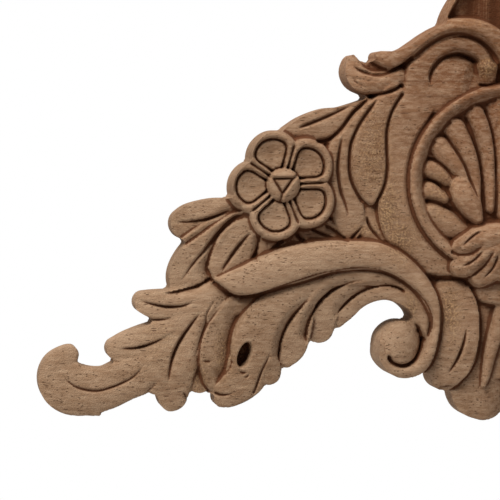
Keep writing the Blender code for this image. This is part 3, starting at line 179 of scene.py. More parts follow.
class Relief:
    """Height over the back and distance inside the outline, on a grid of the left half."""

    def __init__(self, step):
        self.step = step
        left = int(math.ceil((HALF_WIDTH + MARGIN) / step))
        low = int(math.floor((FOOT_LOW - MARGIN) / step))
        high = int(math.ceil((CREST_TOP + MARGIN) / step))
        self.x, self.z = np.meshgrid(np.arange(-left, 4) * step, np.arange(low, high + 1) * step)
        self.h = np.full(self.x.shape, OUTSIDE)
        self.foot = np.full(self.x.shape, OUTSIDE)
        self.cuts = []
        self.tucks = []

    def window(self, c, pad):
        """Part of the grid round a stroke."""
        cols = np.searchsorted(self.x[0], [c[:, 0].min() - pad, c[:, 0].max() + pad])
        rows = np.searchsorted(self.z[:, 0], [c[:, 1].min() - pad, c[:, 1].max() + pad])
        return slice(rows[0], rows[1]), slice(cols[0], cols[1])

    def near(self, c, win):
        """Distance inside a stroke, side, place along it, half width, offset, reach past an end."""
        x = self.x[win]
        z = self.z[win]
        inside = np.full(x.shape, FAR_OUT)
        side = np.zeros(x.shape)
        place = np.zeros(x.shape)
        half = np.ones(x.shape)
        off = np.ones(x.shape)
        past = np.zeros(x.shape)
        n = len(c) - 1
        for i in range(n):
            ax, az, aw = c[i, :3]
            dx = c[i + 1, 0] - ax
            dz = c[i + 1, 1] - az
            length = math.hypot(dx, dz) + 1e-6
            free = ((x - ax) * dx + (z - az) * dz) / length ** 2
            t = np.clip(free, 0.0, 1.0)
            px = x - ax - t * dx
            pz = z - az - t * dz
            d = np.hypot(px, pz)
            w = aw + t * (c[i + 1, 2] - aw)
            m = w - d > inside
            inside[m] = (w - d)[m]
            side[m] = np.sign(dx * pz - dz * px)[m]
            place[m] = (i + t[m]) / n
            half[m] = w[m]
            off[m] = d[m]
            beyond = np.zeros(x.shape)
            if i == 0:
                beyond = np.maximum(beyond, -free * length)
            if i == n - 1:
                beyond = np.maximum(beyond, (free - 1.0) * length)
            past[m] = beyond[m]
        return inside, side, place, half, off, past

    def lay(self, win, h, inside):
        """The higher of the relief and a new face, and the outline round both."""
        self.h[win] = np.maximum(self.h[win], h)
        self.foot[win] = np.maximum(self.foot[win], inside)

    def leaf(self, knots, crown=0.8, ball=False, tilt=0.0, edge=1.0, foot=True):
        """Raised stroke; each knot is x, z, half width, height.

        Its level is the knots' height, plus a crown that swells to the middle line, plus a tilt to
        one side, less a quarter round at the edge; past the edge it falls at the slope of the wall.
        """
        c = curve(knots)
        win = self.window(c, c[:, 2].max() + 4.5)
        inside, side, place, half, off, past = self.near(c, win)
        top = np.interp(place * (len(c) - 1), np.arange(len(c)), c[:, 3])
        u = np.clip(inside / half, 0.0, 1.0)
        section = 1.0 - (fall(1.0 - u) if ball else (1.0 - u) ** 2)
        h = top + crown * section + tilt * side * np.clip(off / half, 0.0, 1.0)
        h = h - TIP_DROOP * past ** 2
        edge = EDGE_ROUND * edge
        h = h - EDGE_DROP * edge * fall(1.0 - np.clip(inside / edge, 0.0, 1.0))
        self.lay(win, np.where(inside < 0.0, h + WALL_SLOPE * inside, h), inside if foot else OUTSIDE)

    def sheet(self, strokes, crown=0.8, edge=1.2, melt=2.2):
        """Several strokes melted into one smooth face; knots as in leaf().

        Its level is a mean of the strokes' heights, each weighed by how far inside it the place is.
        """
        lines = [curve(knots) for knots in strokes]
        win = self.window(np.vstack(lines), 14.0)
        best = np.full(self.x[win].shape, FAR_OUT)
        total = np.zeros(best.shape)
        weight = np.zeros(best.shape) + 1e-12
        for c in lines:
            inside, side, place = self.near(c, win)[:3]
            w = np.exp(np.clip(inside, -40.0, 12.0) / melt)
            total += w * np.interp(place * (len(c) - 1), np.arange(len(c)), c[:, 3])
            weight += w
            best = np.maximum(best, inside)
        edge = EDGE_ROUND * edge
        h = total / weight + crown * (1.0 - (1.0 - np.clip(best / 5.0, 0.0, 1.0)) ** 2)
        h = h - EDGE_DROP * edge * fall(1.0 - np.clip(best / edge, 0.0, 1.0))
        self.lay(win, np.where(best < 0.0, h + WALL_SLOPE * best, h), best)

    def ground(self, knots, top):
        """Flat bed between the leaves; each knot is x, z, half width."""
        c = curve(knots)
        win = self.window(c, c[:, 2].max() + 3.0)
        inside = self.near(c, win)[0]
        self.lay(win, top + WALL_SLOPE * np.minimum(inside, 0.0), inside)

    def tuck(self, knots, width, depth, taper=(0.1, 0.1)):
        """The face right of a line dips under it and comes up again over the width."""
        self.tucks.append((knots, width, depth, taper))

    def cut_tucks(self):
        """Each tuck is deepest along its line and fades over its width and at its ends."""
        for knots, width, depth, taper in self.tucks:
            c = curve([(k[0], k[1], 1.0) for k in knots])
            win = self.window(c, width + 1.0)
            _, side, place, _, off, past = self.near(c, win)
            k = faded(place, taper, 1.0) * ((side < 0.0) | (off < TUCK_LIP)) * (past <= 0.0)
            reach = width * (0.4 + 0.6 * k)
            self.h[win] -= depth * k * np.clip(1.0 - off / reach, 0.0, 1.0) ** 1.6

    def vee(self, knots, width, depth, taper=(0.25, 0.25)):
        """Groove to be cut last; each knot is x, z, and the tapers are shares of its length."""
        self.cuts.append((knots, max(width, NARROWEST_VEE), depth, taper))

    def cut_vees(self):
        """Each groove is deepest along its line, narrower and shallower at its ends."""
        for knots, width, depth, taper in self.cuts:
            c = curve([(k[0], k[1], 1.0) for k in knots])
            win = self.window(c, 2.0 * width)
            place, off = self.near(c, win)[2:5:2]
            k = faded(place, taper, 0.7)
            half = 0.5 * width * (0.45 + 0.55 * k)
            self.h[win] -= depth * k * np.clip(1.0 - off / half, 0.0, 1.0) ** 0.85

    def round_valleys(self):
        """A ball cutter cannot reach into gaps narrower than itself, nor a saw into tight notches."""
        self.h = closing(self.h, CUTTER, self.step, True)
        self.foot = closing(self.foot, NOTCH_RADIUS, self.step, False)


def closing(field, radius, step, ball):
    """A field grown and shrunk again by a ball or a flat disc, which fills what is narrower."""
    n = int(radius / step)
    spots = []
    for i in range(-n, n + 1):
        for j in range(-n, n + 1):
            reach = (i * i + j * j) * step * step
            if reach <= radius * radius:
                spots.append((i, j, radius - math.sqrt(radius * radius - reach) if ball else 0.0))

    def spread(a):
        p = np.pad(a, n, mode="edge")
        out = np.full(a.shape, FAR_OUT)
        for i, j, drop in spots:
            out = np.maximum(out, p[n + i:n + i + a.shape[0], n + j:n + j + a.shape[1]] - drop)
        return out

    return -spread(-spread(field))


def soften(field, sigma):
    """Bell-shaped blur; sigma is in cells."""
    n = int(math.ceil(3.0 * sigma))
    weights = np.exp(-0.5 * (np.arange(-n, n + 1) / sigma) ** 2)
    weights /= weights.sum()
    for axis in (0, 1):
        p = np.pad(field, [(n, n) if a == axis else (0, 0) for a in (0, 1)], mode="edge")
        out = np.zeros_like(field)
        for i, w in enumerate(weights):
            out += w * np.take(p, range(i, i + field.shape[axis]), axis=axis)
        field = out
    return field


def between(field, rows, cols):
    """Bilinear reading of a grid between its points."""
    i = np.clip(rows.astype(int), 0, field.shape[0] - 2)
    j = np.clip(cols.astype(int), 0, field.shape[1] - 2)
    a = np.clip(rows - i, 0.0, 1.0)
    b = np.clip(cols - j, 0.0, 1.0)
    low = field[i, j] * (1.0 - b) + field[i, j + 1] * b
    high = field[i + 1, j] * (1.0 - b) + field[i + 1, j + 1] * b
    return low * (1.0 - a) + high * a


def set_in_sides(r):
    """Take the seen width of the side walls off the outline where it faces left or up."""
    level = np.clip(soften(np.maximum(r.h, 6.0), 1.5 / r.step), 8.0, 14.0)
    rows, cols = np.indices(r.x.shape, dtype=float)
    rows = np.clip(rows + WALL_SEEN_UP * level / r.step, 0.0, r.x.shape[0] - 1.001)
    cols = np.clip(cols - WALL_SEEN_LEFT * level / r.step, 0.0, r.x.shape[1] - 1.001)
    r.foot = np.minimum(r.foot, between(r.foot, rows, cols))


def bed(r):
    """Low beds that join the leaves into one board."""
    r.ground([(-99.6, -44, 3), (-100.5, -54, 5), (-99.8, -60.6, 4.6)], 9.2)
    r.ground([(-92, -20, 9), (-98, -30, 5), (-104, -40, 6)], 9.6)
    r.ground([(-82, -10, 8), (-94, -12, 6)], 9.4)
    r.ground([(-62, 10, 10), (-60, 0, 12), (-58, -12, 9)], 9.2)
    r.ground([(-84, -22, 6), (-72, -20, 8), (-60, -20, 8), (-46, -20, 8)], 9.2)
    r.ground([(-68, -30, 7), (-78, -40, 8), (-84, -52, 8)], 10)
    r.ground([(-82, -34, 4), (-90, -37, 4), (-96, -36, 3)], 10.6)
    r.ground([(-48, -8, 8), (-30, -20, 9), (-18, -36, 9), (-6, -50, 7)], 9.8)
    r.ground([(-34, 12, 6), (-38, 0, 6), (-36, -12, 6)], 10)
    r.ground([(-40, 28, 7), (-28, 36, 9), (-14, 38, 12), (0, 36, 10)], 9.5)
    r.ground([(-6, 44, 9), (0, 40, 9)], 8.5)
    r.ground([(-17, 0, 17), (-10, 10, 16), (0, 14, 16)], 9)
    r.ground([(-60, -26, 4), (-48, -26, 5), (-36, -30, 4), (-27, -40, 3.4), (-26, -52, 3.4), (-30, -56, 3)],
        9.5)
    r.ground([(0, -26, 8), (0, -38, 8), (0, -50, 6)], 8.6)
    r.ground([(-32, 12, 6), (-26, 22, 6), (-18, 29, 6)], 9.5)


def arm_leaf(r):
    """The curl at the far end, its two lobes and the long leaf, all one smooth face."""
    curl = [(-108, -55, 7, 10.6), (-122, -59.7, 6.9, 9.8), (-130, -63.3, 6.9, 9.4),
        (-137.6, -63.9, 7.8, 9.2), (-143, -61.5, 8, 9), (-144.3, -57.5, 6.4, 8.8), (-141.8, -53.6, 4, 8.6),
        (-140.3, -52.6, 2.8, 8.4)]
    heel = [(-136, -70.2, 1.4, 9), (-131.6, -71, 0.9, 8.6)]
    body = [(-96, -34, 4.4, 10.8), (-101, -41, 6.5, 10.8), (-106, -49, 8.4, 10.6), (-109.5, -57, 8.2, 10.2),
        (-109, -61.5, 6.7, 9.8), (-108.9, -65.4, 5.4, 9.4)]
    low_lobe = [(-103, -44.5, 5.4, 10.8), (-109, -47.3, 5.9, 10.6), (-114.5, -48.6, 6.2, 10.3),
        (-122, -49.9, 4.9, 9.7), (-127, -50.8, 3.3, 9)]
    high_lobe = [(-100, -37.6, 5.6, 11), (-109.5, -37.5, 5.2, 10.8), (-115.2, -36.9, 4.3, 10),
        (-118.2, -36.3, 3.4, 9.2)]
    r.sheet([curl, heel, body, low_lobe, high_lobe], crown=0.9, edge=1.7)
    r.vee([(-142.6, -58.4), (-141.2, -60.6), (-137.7, -62.9), (-132.3, -63.9), (-127.8, -62.9),
        (-124, -61.4), (-121, -59.8), (-118.8, -57.6), (-117.4, -55.6)], 1.2, 1, (0.3, 0.4))
    r.vee([(-124.6, -50.9), (-120, -50.6), (-116, -49.6), (-111.6, -47.7)], 1.4, 1.5, (0.5, 0.6))
    r.vee([(-118.4, -36), (-114, -37.2), (-110, -37.8), (-106, -37.7), (-102.3, -36.6)], 1.5, 1.6,
        (0.5, 0.5))
    r.vee([(-99.9, -39.8), (-103, -43.8), (-106.2, -48.5), (-108.3, -53), (-109.3, -57), (-109.9, -61.5)],
        1.7, 1.8, (0.35, 0.4))
    r.tuck([(-126, -50.9), (-120, -50.6), (-116, -49.6), (-111.6, -47.7), (-106.6, -45)], 5.5, 1,
        (0.4, 0.6))
    r.tuck([(-119.4, -35.8), (-114, -37.2), (-110, -37.8), (-106, -37.7), (-101, -36)], 4.5, 0.9,
        (0.4, 0.5))
    r.tuck([(-109.7, -62.5), (-109, -57), (-108, -53), (-105.9, -48.5), (-102.7, -43.8), (-99.5, -39.8)],
        5.5, 0.8, (0.4, 0.4))
    r.vee([(-116.6, -42), (-114.4, -42), (-111.5, -41.8), (-109, -41.4)], 1.2, 1.5, (0, 0.9))
    r.vee([(-129, -54.6), (-127, -54.9), (-124.5, -54.8)], 1.2, 1.3, (0, 0.9))
    r.vee([(-116.6, -65.6), (-116.2, -64.4), (-115.2, -62.8)], 1, 1.3, (0, 0.9))
    r.vee([(-104, -66.6), (-104.6, -65.4), (-105.4, -64.4)], 1, 1.4, (0, 0.9))
    r.vee([(-94.6, -35), (-96.6, -38), (-97.9, -40.6), (-98.2, -43.6), (-99.5, -47.5), (-100.6, -50.8),
        (-101.8, -54.4)], 1.1, 0.7, (0.3, 0.4))
    r.tuck([(-111.4, -33.9), (-106, -32.9), (-102, -31.9), (-99, -30.6), (-96.4, -29.2)], 2.4, 1.9,
        (0.2, 0))
    r.tuck([(-116.2, -65.2), (-114.6, -62.8), (-112.8, -60.6)][::-1], 2.4, 0.7, (0.7, 0))


def eyed_leaf(r):
    """The leaf with the sunk eye: an outer strip, a body and a small lobe."""
    r.leaf([(-88.3, -37, 2.6, 10.6), (-91.3, -41.5, 4.4, 10.6), (-94.4, -48, 5.6, 10.6),
        (-94.7, -54, 5.6, 10.4), (-94, -60, 4.8, 9.8)], crown=0.2, tilt=-1.1, edge=0.7)
    r.sheet([[(-60, -30, 1.8, 13.2), (-66, -32.2, 3, 13.2), (-71.7, -35.6, 4.5, 13),
        (-77.3, -40.5, 6.2, 12.6), (-81.6, -47, 7.6, 12.2), (-83, -54, 7.5, 11.8),
        (-85.6, -60.4, 6.4, 11.2), (-90.3, -64.7, 4.9, 10.4), (-93.4, -66.4, 3.3, 9.6)],
        [(-77.7, -48, 2.6, 12), (-78.3, -54, 3.5, 11.2), (-78, -59, 3.9, 9.8)]], crown=0.9, edge=1.2)
    r.tuck([(-90, -34.7), (-94, -38.8), (-97.5, -43.5), (-99.4, -48), (-100.1, -52.5), (-100, -56),
        (-98.9, -60), (-97, -64.8)], 2.6, 1.2, (0.3, 0))
    r.tuck([(-79, -34.8), (-84.5, -39), (-88, -43.5), (-89.8, -48), (-90.3, -52.5), (-90.2, -56.4),
        (-92.4, -59.8), (-95.4, -62.8)], 4.8, 1.4, (0.25, 0.1))
    r.vee([(-77.6, -52), (-78.7, -54.6), (-80.4, -58.1), (-81.4, -60.9), (-82.2, -63.3), (-82.9, -65.2)],
        1.1, 1.2, (0.5, 0))
    r.vee([(-95.4, -65), (-93.5, -65.7), (-91.5, -65.7), (-88.8, -65)], 0.9, 1.2, (0.1, 0.5))
    r.vee([(-99, -54.7), (-97.8, -55.2), (-96.2, -55)], 0.9, 0.7, (0.3, 0.3))
    r.vee([(-88.2, -57.6), (-86.6, -58.8), (-85, -58.4)], 1.4, 0.9, (0.4, 0.4))
    r.vee([(-86.4, -60.2), (-85.2, -60), (-84.4, -58.9)], 1.2, 0.7, (0.4, 0.4))


def arch_lobes(r):
    """Three lobes hanging under the arch, the first two from one band."""
    r.leaf([(-28.5, -47.4, 1, 13.4), (-28.4, -43.5, 1.9, 14), (-30.2, -38.8, 2.4, 14.2),
        (-33.4, -34.4, 2.6, 14.4), (-38, -31, 2.5, 14.6), (-48, -28.9, 2.5, 14.6), (-57, -29.6, 2.3, 14.2),
        (-61.7, -32.6, 2.3, 13.6), (-65.7, -37.3, 2.5, 13), (-69.3, -46.6, 4.4, 11.4),
        (-70.6, -51.2, 4.4, 10.4), (-72.4, -55.2, 2.5, 9.6)], crown=0.4, edge=0.8)
    r.leaf([(-37, -31.4, 0.9, 13.4), (-42, -30.7, 1.5, 13.2), (-47, -31.1, 1.9, 13.2),
        (-52, -32.4, 2.4, 13), (-56, -35.2, 2.9, 12.4), (-59.2, -39.2, 3.6, 11.4), (-61.9, -45.4, 4.6, 10)],
        crown=0.4, edge=0.8)
    r.leaf([(-56.2, -42.9, 2.4, 9.6), (-53.2, -39.8, 2.8, 10.6), (-50.3, -37.2, 2.5, 11.4),
        (-47, -35.2, 2.4, 12.4), (-43, -34, 2.4, 13.4), (-39.5, -34, 2.6, 14), (-35.8, -35.6, 2.7, 14.2),
        (-32.6, -38.8, 2.8, 13.8), (-31.2, -43, 2.8, 13)], crown=0.6, edge=0.9)
    r.tuck([(-65.2, -34.9), (-68, -38.2), (-70.4, -41.3), (-72.8, -45.2), (-74.2, -49.2), (-74.6, -52.5),
        (-74.9, -57)], 3.4, 2.6, (0.35, 0.12))
    r.tuck([(-47, -29.8), (-52, -30.5), (-56.4, -32.4), (-60, -35.1), (-62.6, -38), (-64.3, -40.9),
        (-65.5, -44), (-66, -47), (-66, -50.4)], 3.6, 2.6, (0.3, 0.1))
    r.tuck([(-33.6, -35), (-36.4, -32.9), (-40, -31.9), (-44, -32.1), (-48, -33.4), (-51.6, -35.9),
        (-54.6, -38.7), (-57.4, -42)], 4.2, 1.7, (0.2, 0.12))
    r.vee([(-35.2, -34), (-37, -32.9), (-40, -32.1), (-43, -32.2)], 1.5, 1.8, (0.1, 0.8))


def side_leaves(r):
    """Small veined leaves at the outer side of the flower, each tucked under the next."""
    r.leaf([(-84, -6.5, 4.3, 11), (-91, -8.6, 5.1, 10.8), (-97, -9.7, 5.7, 10.2), (-102.4, -11, 5.7, 9.4),
        (-104.9, -11.8, 5, 8.6)], crown=0.8, edge=1.6)
    r.vee([(-107.6, -11.6), (-103, -11.4), (-99, -10.8), (-95, -9.8), (-92.5, -8.7), (-90.4, -7.7)], 1.5,
        1.5, (0.5, 0.4))
    r.tuck([(-108, -11.9), (-103, -11.6), (-99, -11), (-95, -10), (-90.4, -8)], 4, 0.9, (0.4, 0.4))
    r.leaf([(-87.5, -10.2, 2.4, 12.4), (-93.3, -14.1, 4.2, 12.2), (-97.8, -18, 5.6, 11.8),
        (-101.4, -22.5, 6.6, 11.2), (-103.1, -27.8, 7.7, 10.2), (-105, -31.2, 5.4, 9.8),
        (-106.4, -33, 3.4, 9.6)], crown=0.5, edge=1.6)
    r.leaf([(-84, -12, 4.2, 12.6), (-87, -16.8, 5.6, 12.4), (-90.4, -21.8, 5.8, 11.8),
        (-93.2, -26, 3.9, 11.4), (-95.3, -29.4, 1.6, 11)], crown=0.5, edge=0.8)
    r.leaf([(-79.6, -13, 3, 11.8), (-78.6, -20, 4, 11.2)], crown=0.5)
    r.leaf([(-74, -15, 3.4, 10.8), (-73, -19, 3.8, 10.8), (-66, -19, 3, 10.4)], crown=0.5)
    r.tuck([(-105.6, -19.2), (-100, -15.4), (-95, -11.7), (-91, -9.2), (-87, -7.8)][::-1], 3.4, 1.7, (0, 0))
    r.tuck([(-85, -9.8), (-88.4, -10.8), (-91.4, -13), (-94.2, -16), (-96, -20), (-96.9, -23), (-97.4, -26),
        (-96.6, -28), (-95.8, -30)], 3.4, 2.2, (0.1, 0))
    r.vee([(-85.6, -9.2), (-88.6, -9.9), (-91.4, -12), (-94, -14.9), (-96.4, -17.8), (-98.8, -20.7),
        (-101.2, -23.5), (-103.4, -26.5), (-105.8, -30.2)], 1.9, 1.8, (0.15, 0.5))
    r.vee([(-84.2, -14.8), (-87, -18), (-89.5, -21.3), (-91.5, -24.3), (-93.4, -27.1)], 1.8, 2, (0.3, 0.5))
    r.tuck([(-82.4, -24), (-82, -21.5), (-81.7, -19), (-81, -15)][::-1], 2.6, 1.8, (0.1, 0))
    r.vee([(-73.6, -17.3), (-75.4, -18.7), (-77.9, -20.6)], 1.6, 2.2, (0.1, 0.5))


def falling_leaves(r):
    """Leaves that fall from the notch and pass behind the flower."""
    r.leaf([(-47, 26.4, 1.6, 12.4), (-51.5, 23.3, 3, 12.2), (-56, 20.2, 4.7, 11.8), (-61, 18.7, 5.6, 11.2),
        (-67, 17.3, 4.8, 10.8), (-72, 15.3, 3.8, 10.6)], crown=0.6, edge=1.4)
    r.vee([(-69, 17.6), (-66, 18.7), (-62, 20.3), (-58, 22), (-54.5, 23.7), (-52, 24.9)], 1.6, 1.6,
        (0.2, 0.5))
    r.leaf([(-46.5, 25, 1, 13), (-49.5, 21.3, 1.8, 13), (-52.7, 16.5, 3, 12.8), (-55.2, 10.5, 4, 12.6),
        (-56, 4, 4.6, 12.4), (-54.6, -2.5, 5, 12.2), (-52.8, -9, 5, 11.8), (-52.3, -14, 3.6, 11.2),
        (-52.6, -17.4, 1.2, 10.8)], crown=0.5, edge=0.9)
    r.vee([(-55, 15.6), (-55.9, 11), (-56.4, 6), (-56.2, 2), (-55.3, -2.5), (-54, -6), (-52.9, -10.2)], 1.8,
        2, (0.3, 0.3))
    r.leaf([(-38.4, 29.2, 2.6, 13.4), (-41.2, 25.2, 3.6, 13.6), (-43.8, 21, 4.4, 13.6),
        (-45.8, 15.5, 5.1, 13.6), (-46.6, 9, 5.8, 13.6), (-46.5, 3, 5.5, 13.4), (-46.3, -1.5, 3.5, 13.2),
        (-45.7, -4.9, 1.3, 13)], crown=0.3, edge=0.7)
    r.vee([(-36.1, 28.2), (-38.3, 24.8), (-39.8, 21.5), (-40.9, 17), (-41, 12), (-40.7, 6), (-41.2, 1),
        (-42.6, -3), (-44.4, -6)], 1.7, 1.9, (0, 0.1))
    r.vee([(-43.6, 27.2), (-45.3, 25), (-47.5, 22), (-49.5, 19), (-51.2, 15.5), (-52.4, 12), (-52.7, 6),
        (-52.2, 2), (-50.8, -1.5), (-48.6, -5.2)], 1.7, 1.9, (0.15, 0))
    r.vee([(-43.5, 28), (-46.5, 26.8), (-49, 24.8), (-51.5, 22.5), (-54, 19), (-56.5, 16), (-59, 14.2),
        (-62.8, 13.2)], 1.9, 2.4, (0.1, 0))
    r.leaf([(-46.8, -7.5, 2.6, 10.4), (-46.2, -11, 3.6, 10.8), (-44.4, -15, 4.2, 11.2),
        (-42, -18.5, 3.8, 11.4)], crown=0.5, edge=0.9)
    r.vee([(-46.9, -10), (-46.3, -12.4), (-45, -14.7), (-42.2, -17.9)], 1.4, 1.9)
    r.vee([(-48.3, -13.2), (-49.8, -14.9), (-51.2, -16.4), (-52, -17.4)], 1.4, 1.6, (0.6, 0.2))
    r.leaf([(-66, -13.5, 3.6, 10.2), (-60, -14.6, 3.8, 10.4), (-55.3, -15.8, 2.9, 10.6)], crown=0.4,
        edge=0.9)
    r.vee([(-64.8, -13.8), (-61.5, -15.4), (-57.2, -16.9)], 1.5, 1.9, (0.1, 0.5))
    r.tuck([(-60.4, -12.4), (-57, -14.5), (-54.5, -16.6), (-53.2, -18)], 2.4, 1.6, (0.1, 0))
    r.vee([(-69.4, -15.4), (-68.2, -16.8), (-66.2, -18.4)], 1.9, 2, (0.2, 0.2))


def stem_and_scroll(r):
    """The long arched stem that winds into the scroll round its domed eye."""
    t = STEM_TOP
    arch = [(-94.6, -29.6, 0.8, t - 4.2), (-90, -30.2, 3.2, t - 3.4), (-85, -29.5, 4.5, t - 2.4),
        (-80, -27.9, 5.2, t - 1.6), (-75, -26.2, 5.4, t - 1), (-70, -24.9, 5.4, t - 0.6),
        (-60, -22.8, 4.6, t - 0.2), (-50, -22.4, 4, t)]
    turn = polar(SCROLL_EYE, [(105, 28.5, 4, t), (95, 26.3, 3.7, t), (82, 22.9, 3.1, t),
        (66, 19.4, 2.7, t - 0.2), (48, 16.4, 2.2, t - 0.6), (31, 14.2, 1.6, t - 1),
        (14, 12.2, 1.5, t - 1.4), (-8, 10.7, 2, t - 1.8), (-34, 10.2, 2.3, t - 2.2),
        (-58, 9.7, 2.1, t - 2.6), (-82, 8.8, 2.1, t - 2.8), (-112, 7.6, 2.3, t - 3),
        (-146, 6.8, 2.5, t - 3), (-174, 6.3, 2.1, t - 3)])
    r.leaf(arch + turn, crown=0.9, edge=0.9)
    x, z = SCROLL_EYE
    r.leaf([(x - 0.1, z - 0.5, SCROLL_EYE_RADIUS, SCROLL_EYE_TOP),
        (x + 0.1, z - 0.5, SCROLL_EYE_RADIUS, SCROLL_EYE_TOP)], crown=2.6, ball=True, edge=0.6)
    r.vee([(-40.5, -53.6), (-39.2, -56), (-36.5, -57.2), (-34, -57), (-31.5, -55.6), (-29.8, -53),
        (-28.8, -50.2), (-29, -48.2), (-30.2, -45.8), (-32, -43.6)], 1.8, 3, (0.05, 0.2))
    r.tuck([(-96, -29.6), (-92.5, -32.2), (-89.5, -34.3), (-86, -34.9), (-81, -33.7), (-76, -31.9),
        (-70, -29.9), (-64, -28), (-58, -26.8), (-52, -26), (-46, -26.2)], 3, 2.4, (0.02, 0.3))
    r.tuck([(-60, -27.2), (-56, -26.5), (-52, -26), (-46, -26.2), (-41, -27.7), (-36, -30.4),
        (-31.5, -33.9), (-28.5, -37.6), (-26.6, -42), (-26.8, -46), (-28.5, -49)], 2, 1.5, (0.3, 0.1))
    r.tuck([(-29.2, -60.2), (-27, -57.6), (-25.2, -53.4), (-24.2, -48), (-23.8, -43), (-24.1, -38),
        (-25.4, -33.4), (-28, -30), (-31.2, -26.4), (-35.2, -22.9), (-38.1, -20.9), (-41.3, -19),
        (-43.4, -18.3)], 2.3, 2, (0, 0.15))


def foot(r):
    """Leaf beside the scroll, round lobe at the foot, stamen and drop under the cup."""
    r.leaf([(-19, -34, 5.6, 11.8), (-17.2, -40, 6.3, 13), (-16.8, -45, 6.4, 13.4), (-16.9, -50, 6.2, 13.4),
        (-18.4, -55, 6.5, 13), (-21.8, -59.6, 6, 11.6)], crown=0.4, edge=1)
    r.vee([(-15.1, -45.4), (-15.7, -49.6), (-17, -53.8), (-18.5, -56.8), (-20.6, -60.2)], 1.7, 2.1,
        (0.5, 0.5))
    r.leaf([(-3, -47, 7, 9.8), (-5, -56, 8, 9.8), (-12, -64.9, 8.2, 9.6), (-8.2, -66.3, 9.3, 9.6)],
        crown=0.4, edge=1)
    r.leaf([(-2.6, -36, 2, 12), (-3.4, -42, 2.2, 12.2), (-5, -48, 2.2, 12.2), (-6.6, -54, 1.8, 11.9),
        (-7.9, -61, 1.3, 11.4), (-8.6, -64.4, 0.7, 10.8)], crown=0.7, edge=1)
    r.leaf([(-8.4, -33.6, 3.9, 13), (-4, -33.8, 4.5, 13.4)], crown=0.8, edge=1.6)
    r.tuck([(-17.5, -64.2), (-14, -60.8), (-11.8, -55.5), (-10.6, -50), (-10.3, -45), (-10.6, -40),
        (-11.6, -36), (-13.6, -32.2)], 2.4, 1.6, (0.3, 0))
    r.tuck([(-25.2, -65.8), (-22.5, -64.6), (-19.5, -64.2), (-16.8, -64.2), (-14.4, -61.6)], 2.4, 1,
        (0.2, 0.4))


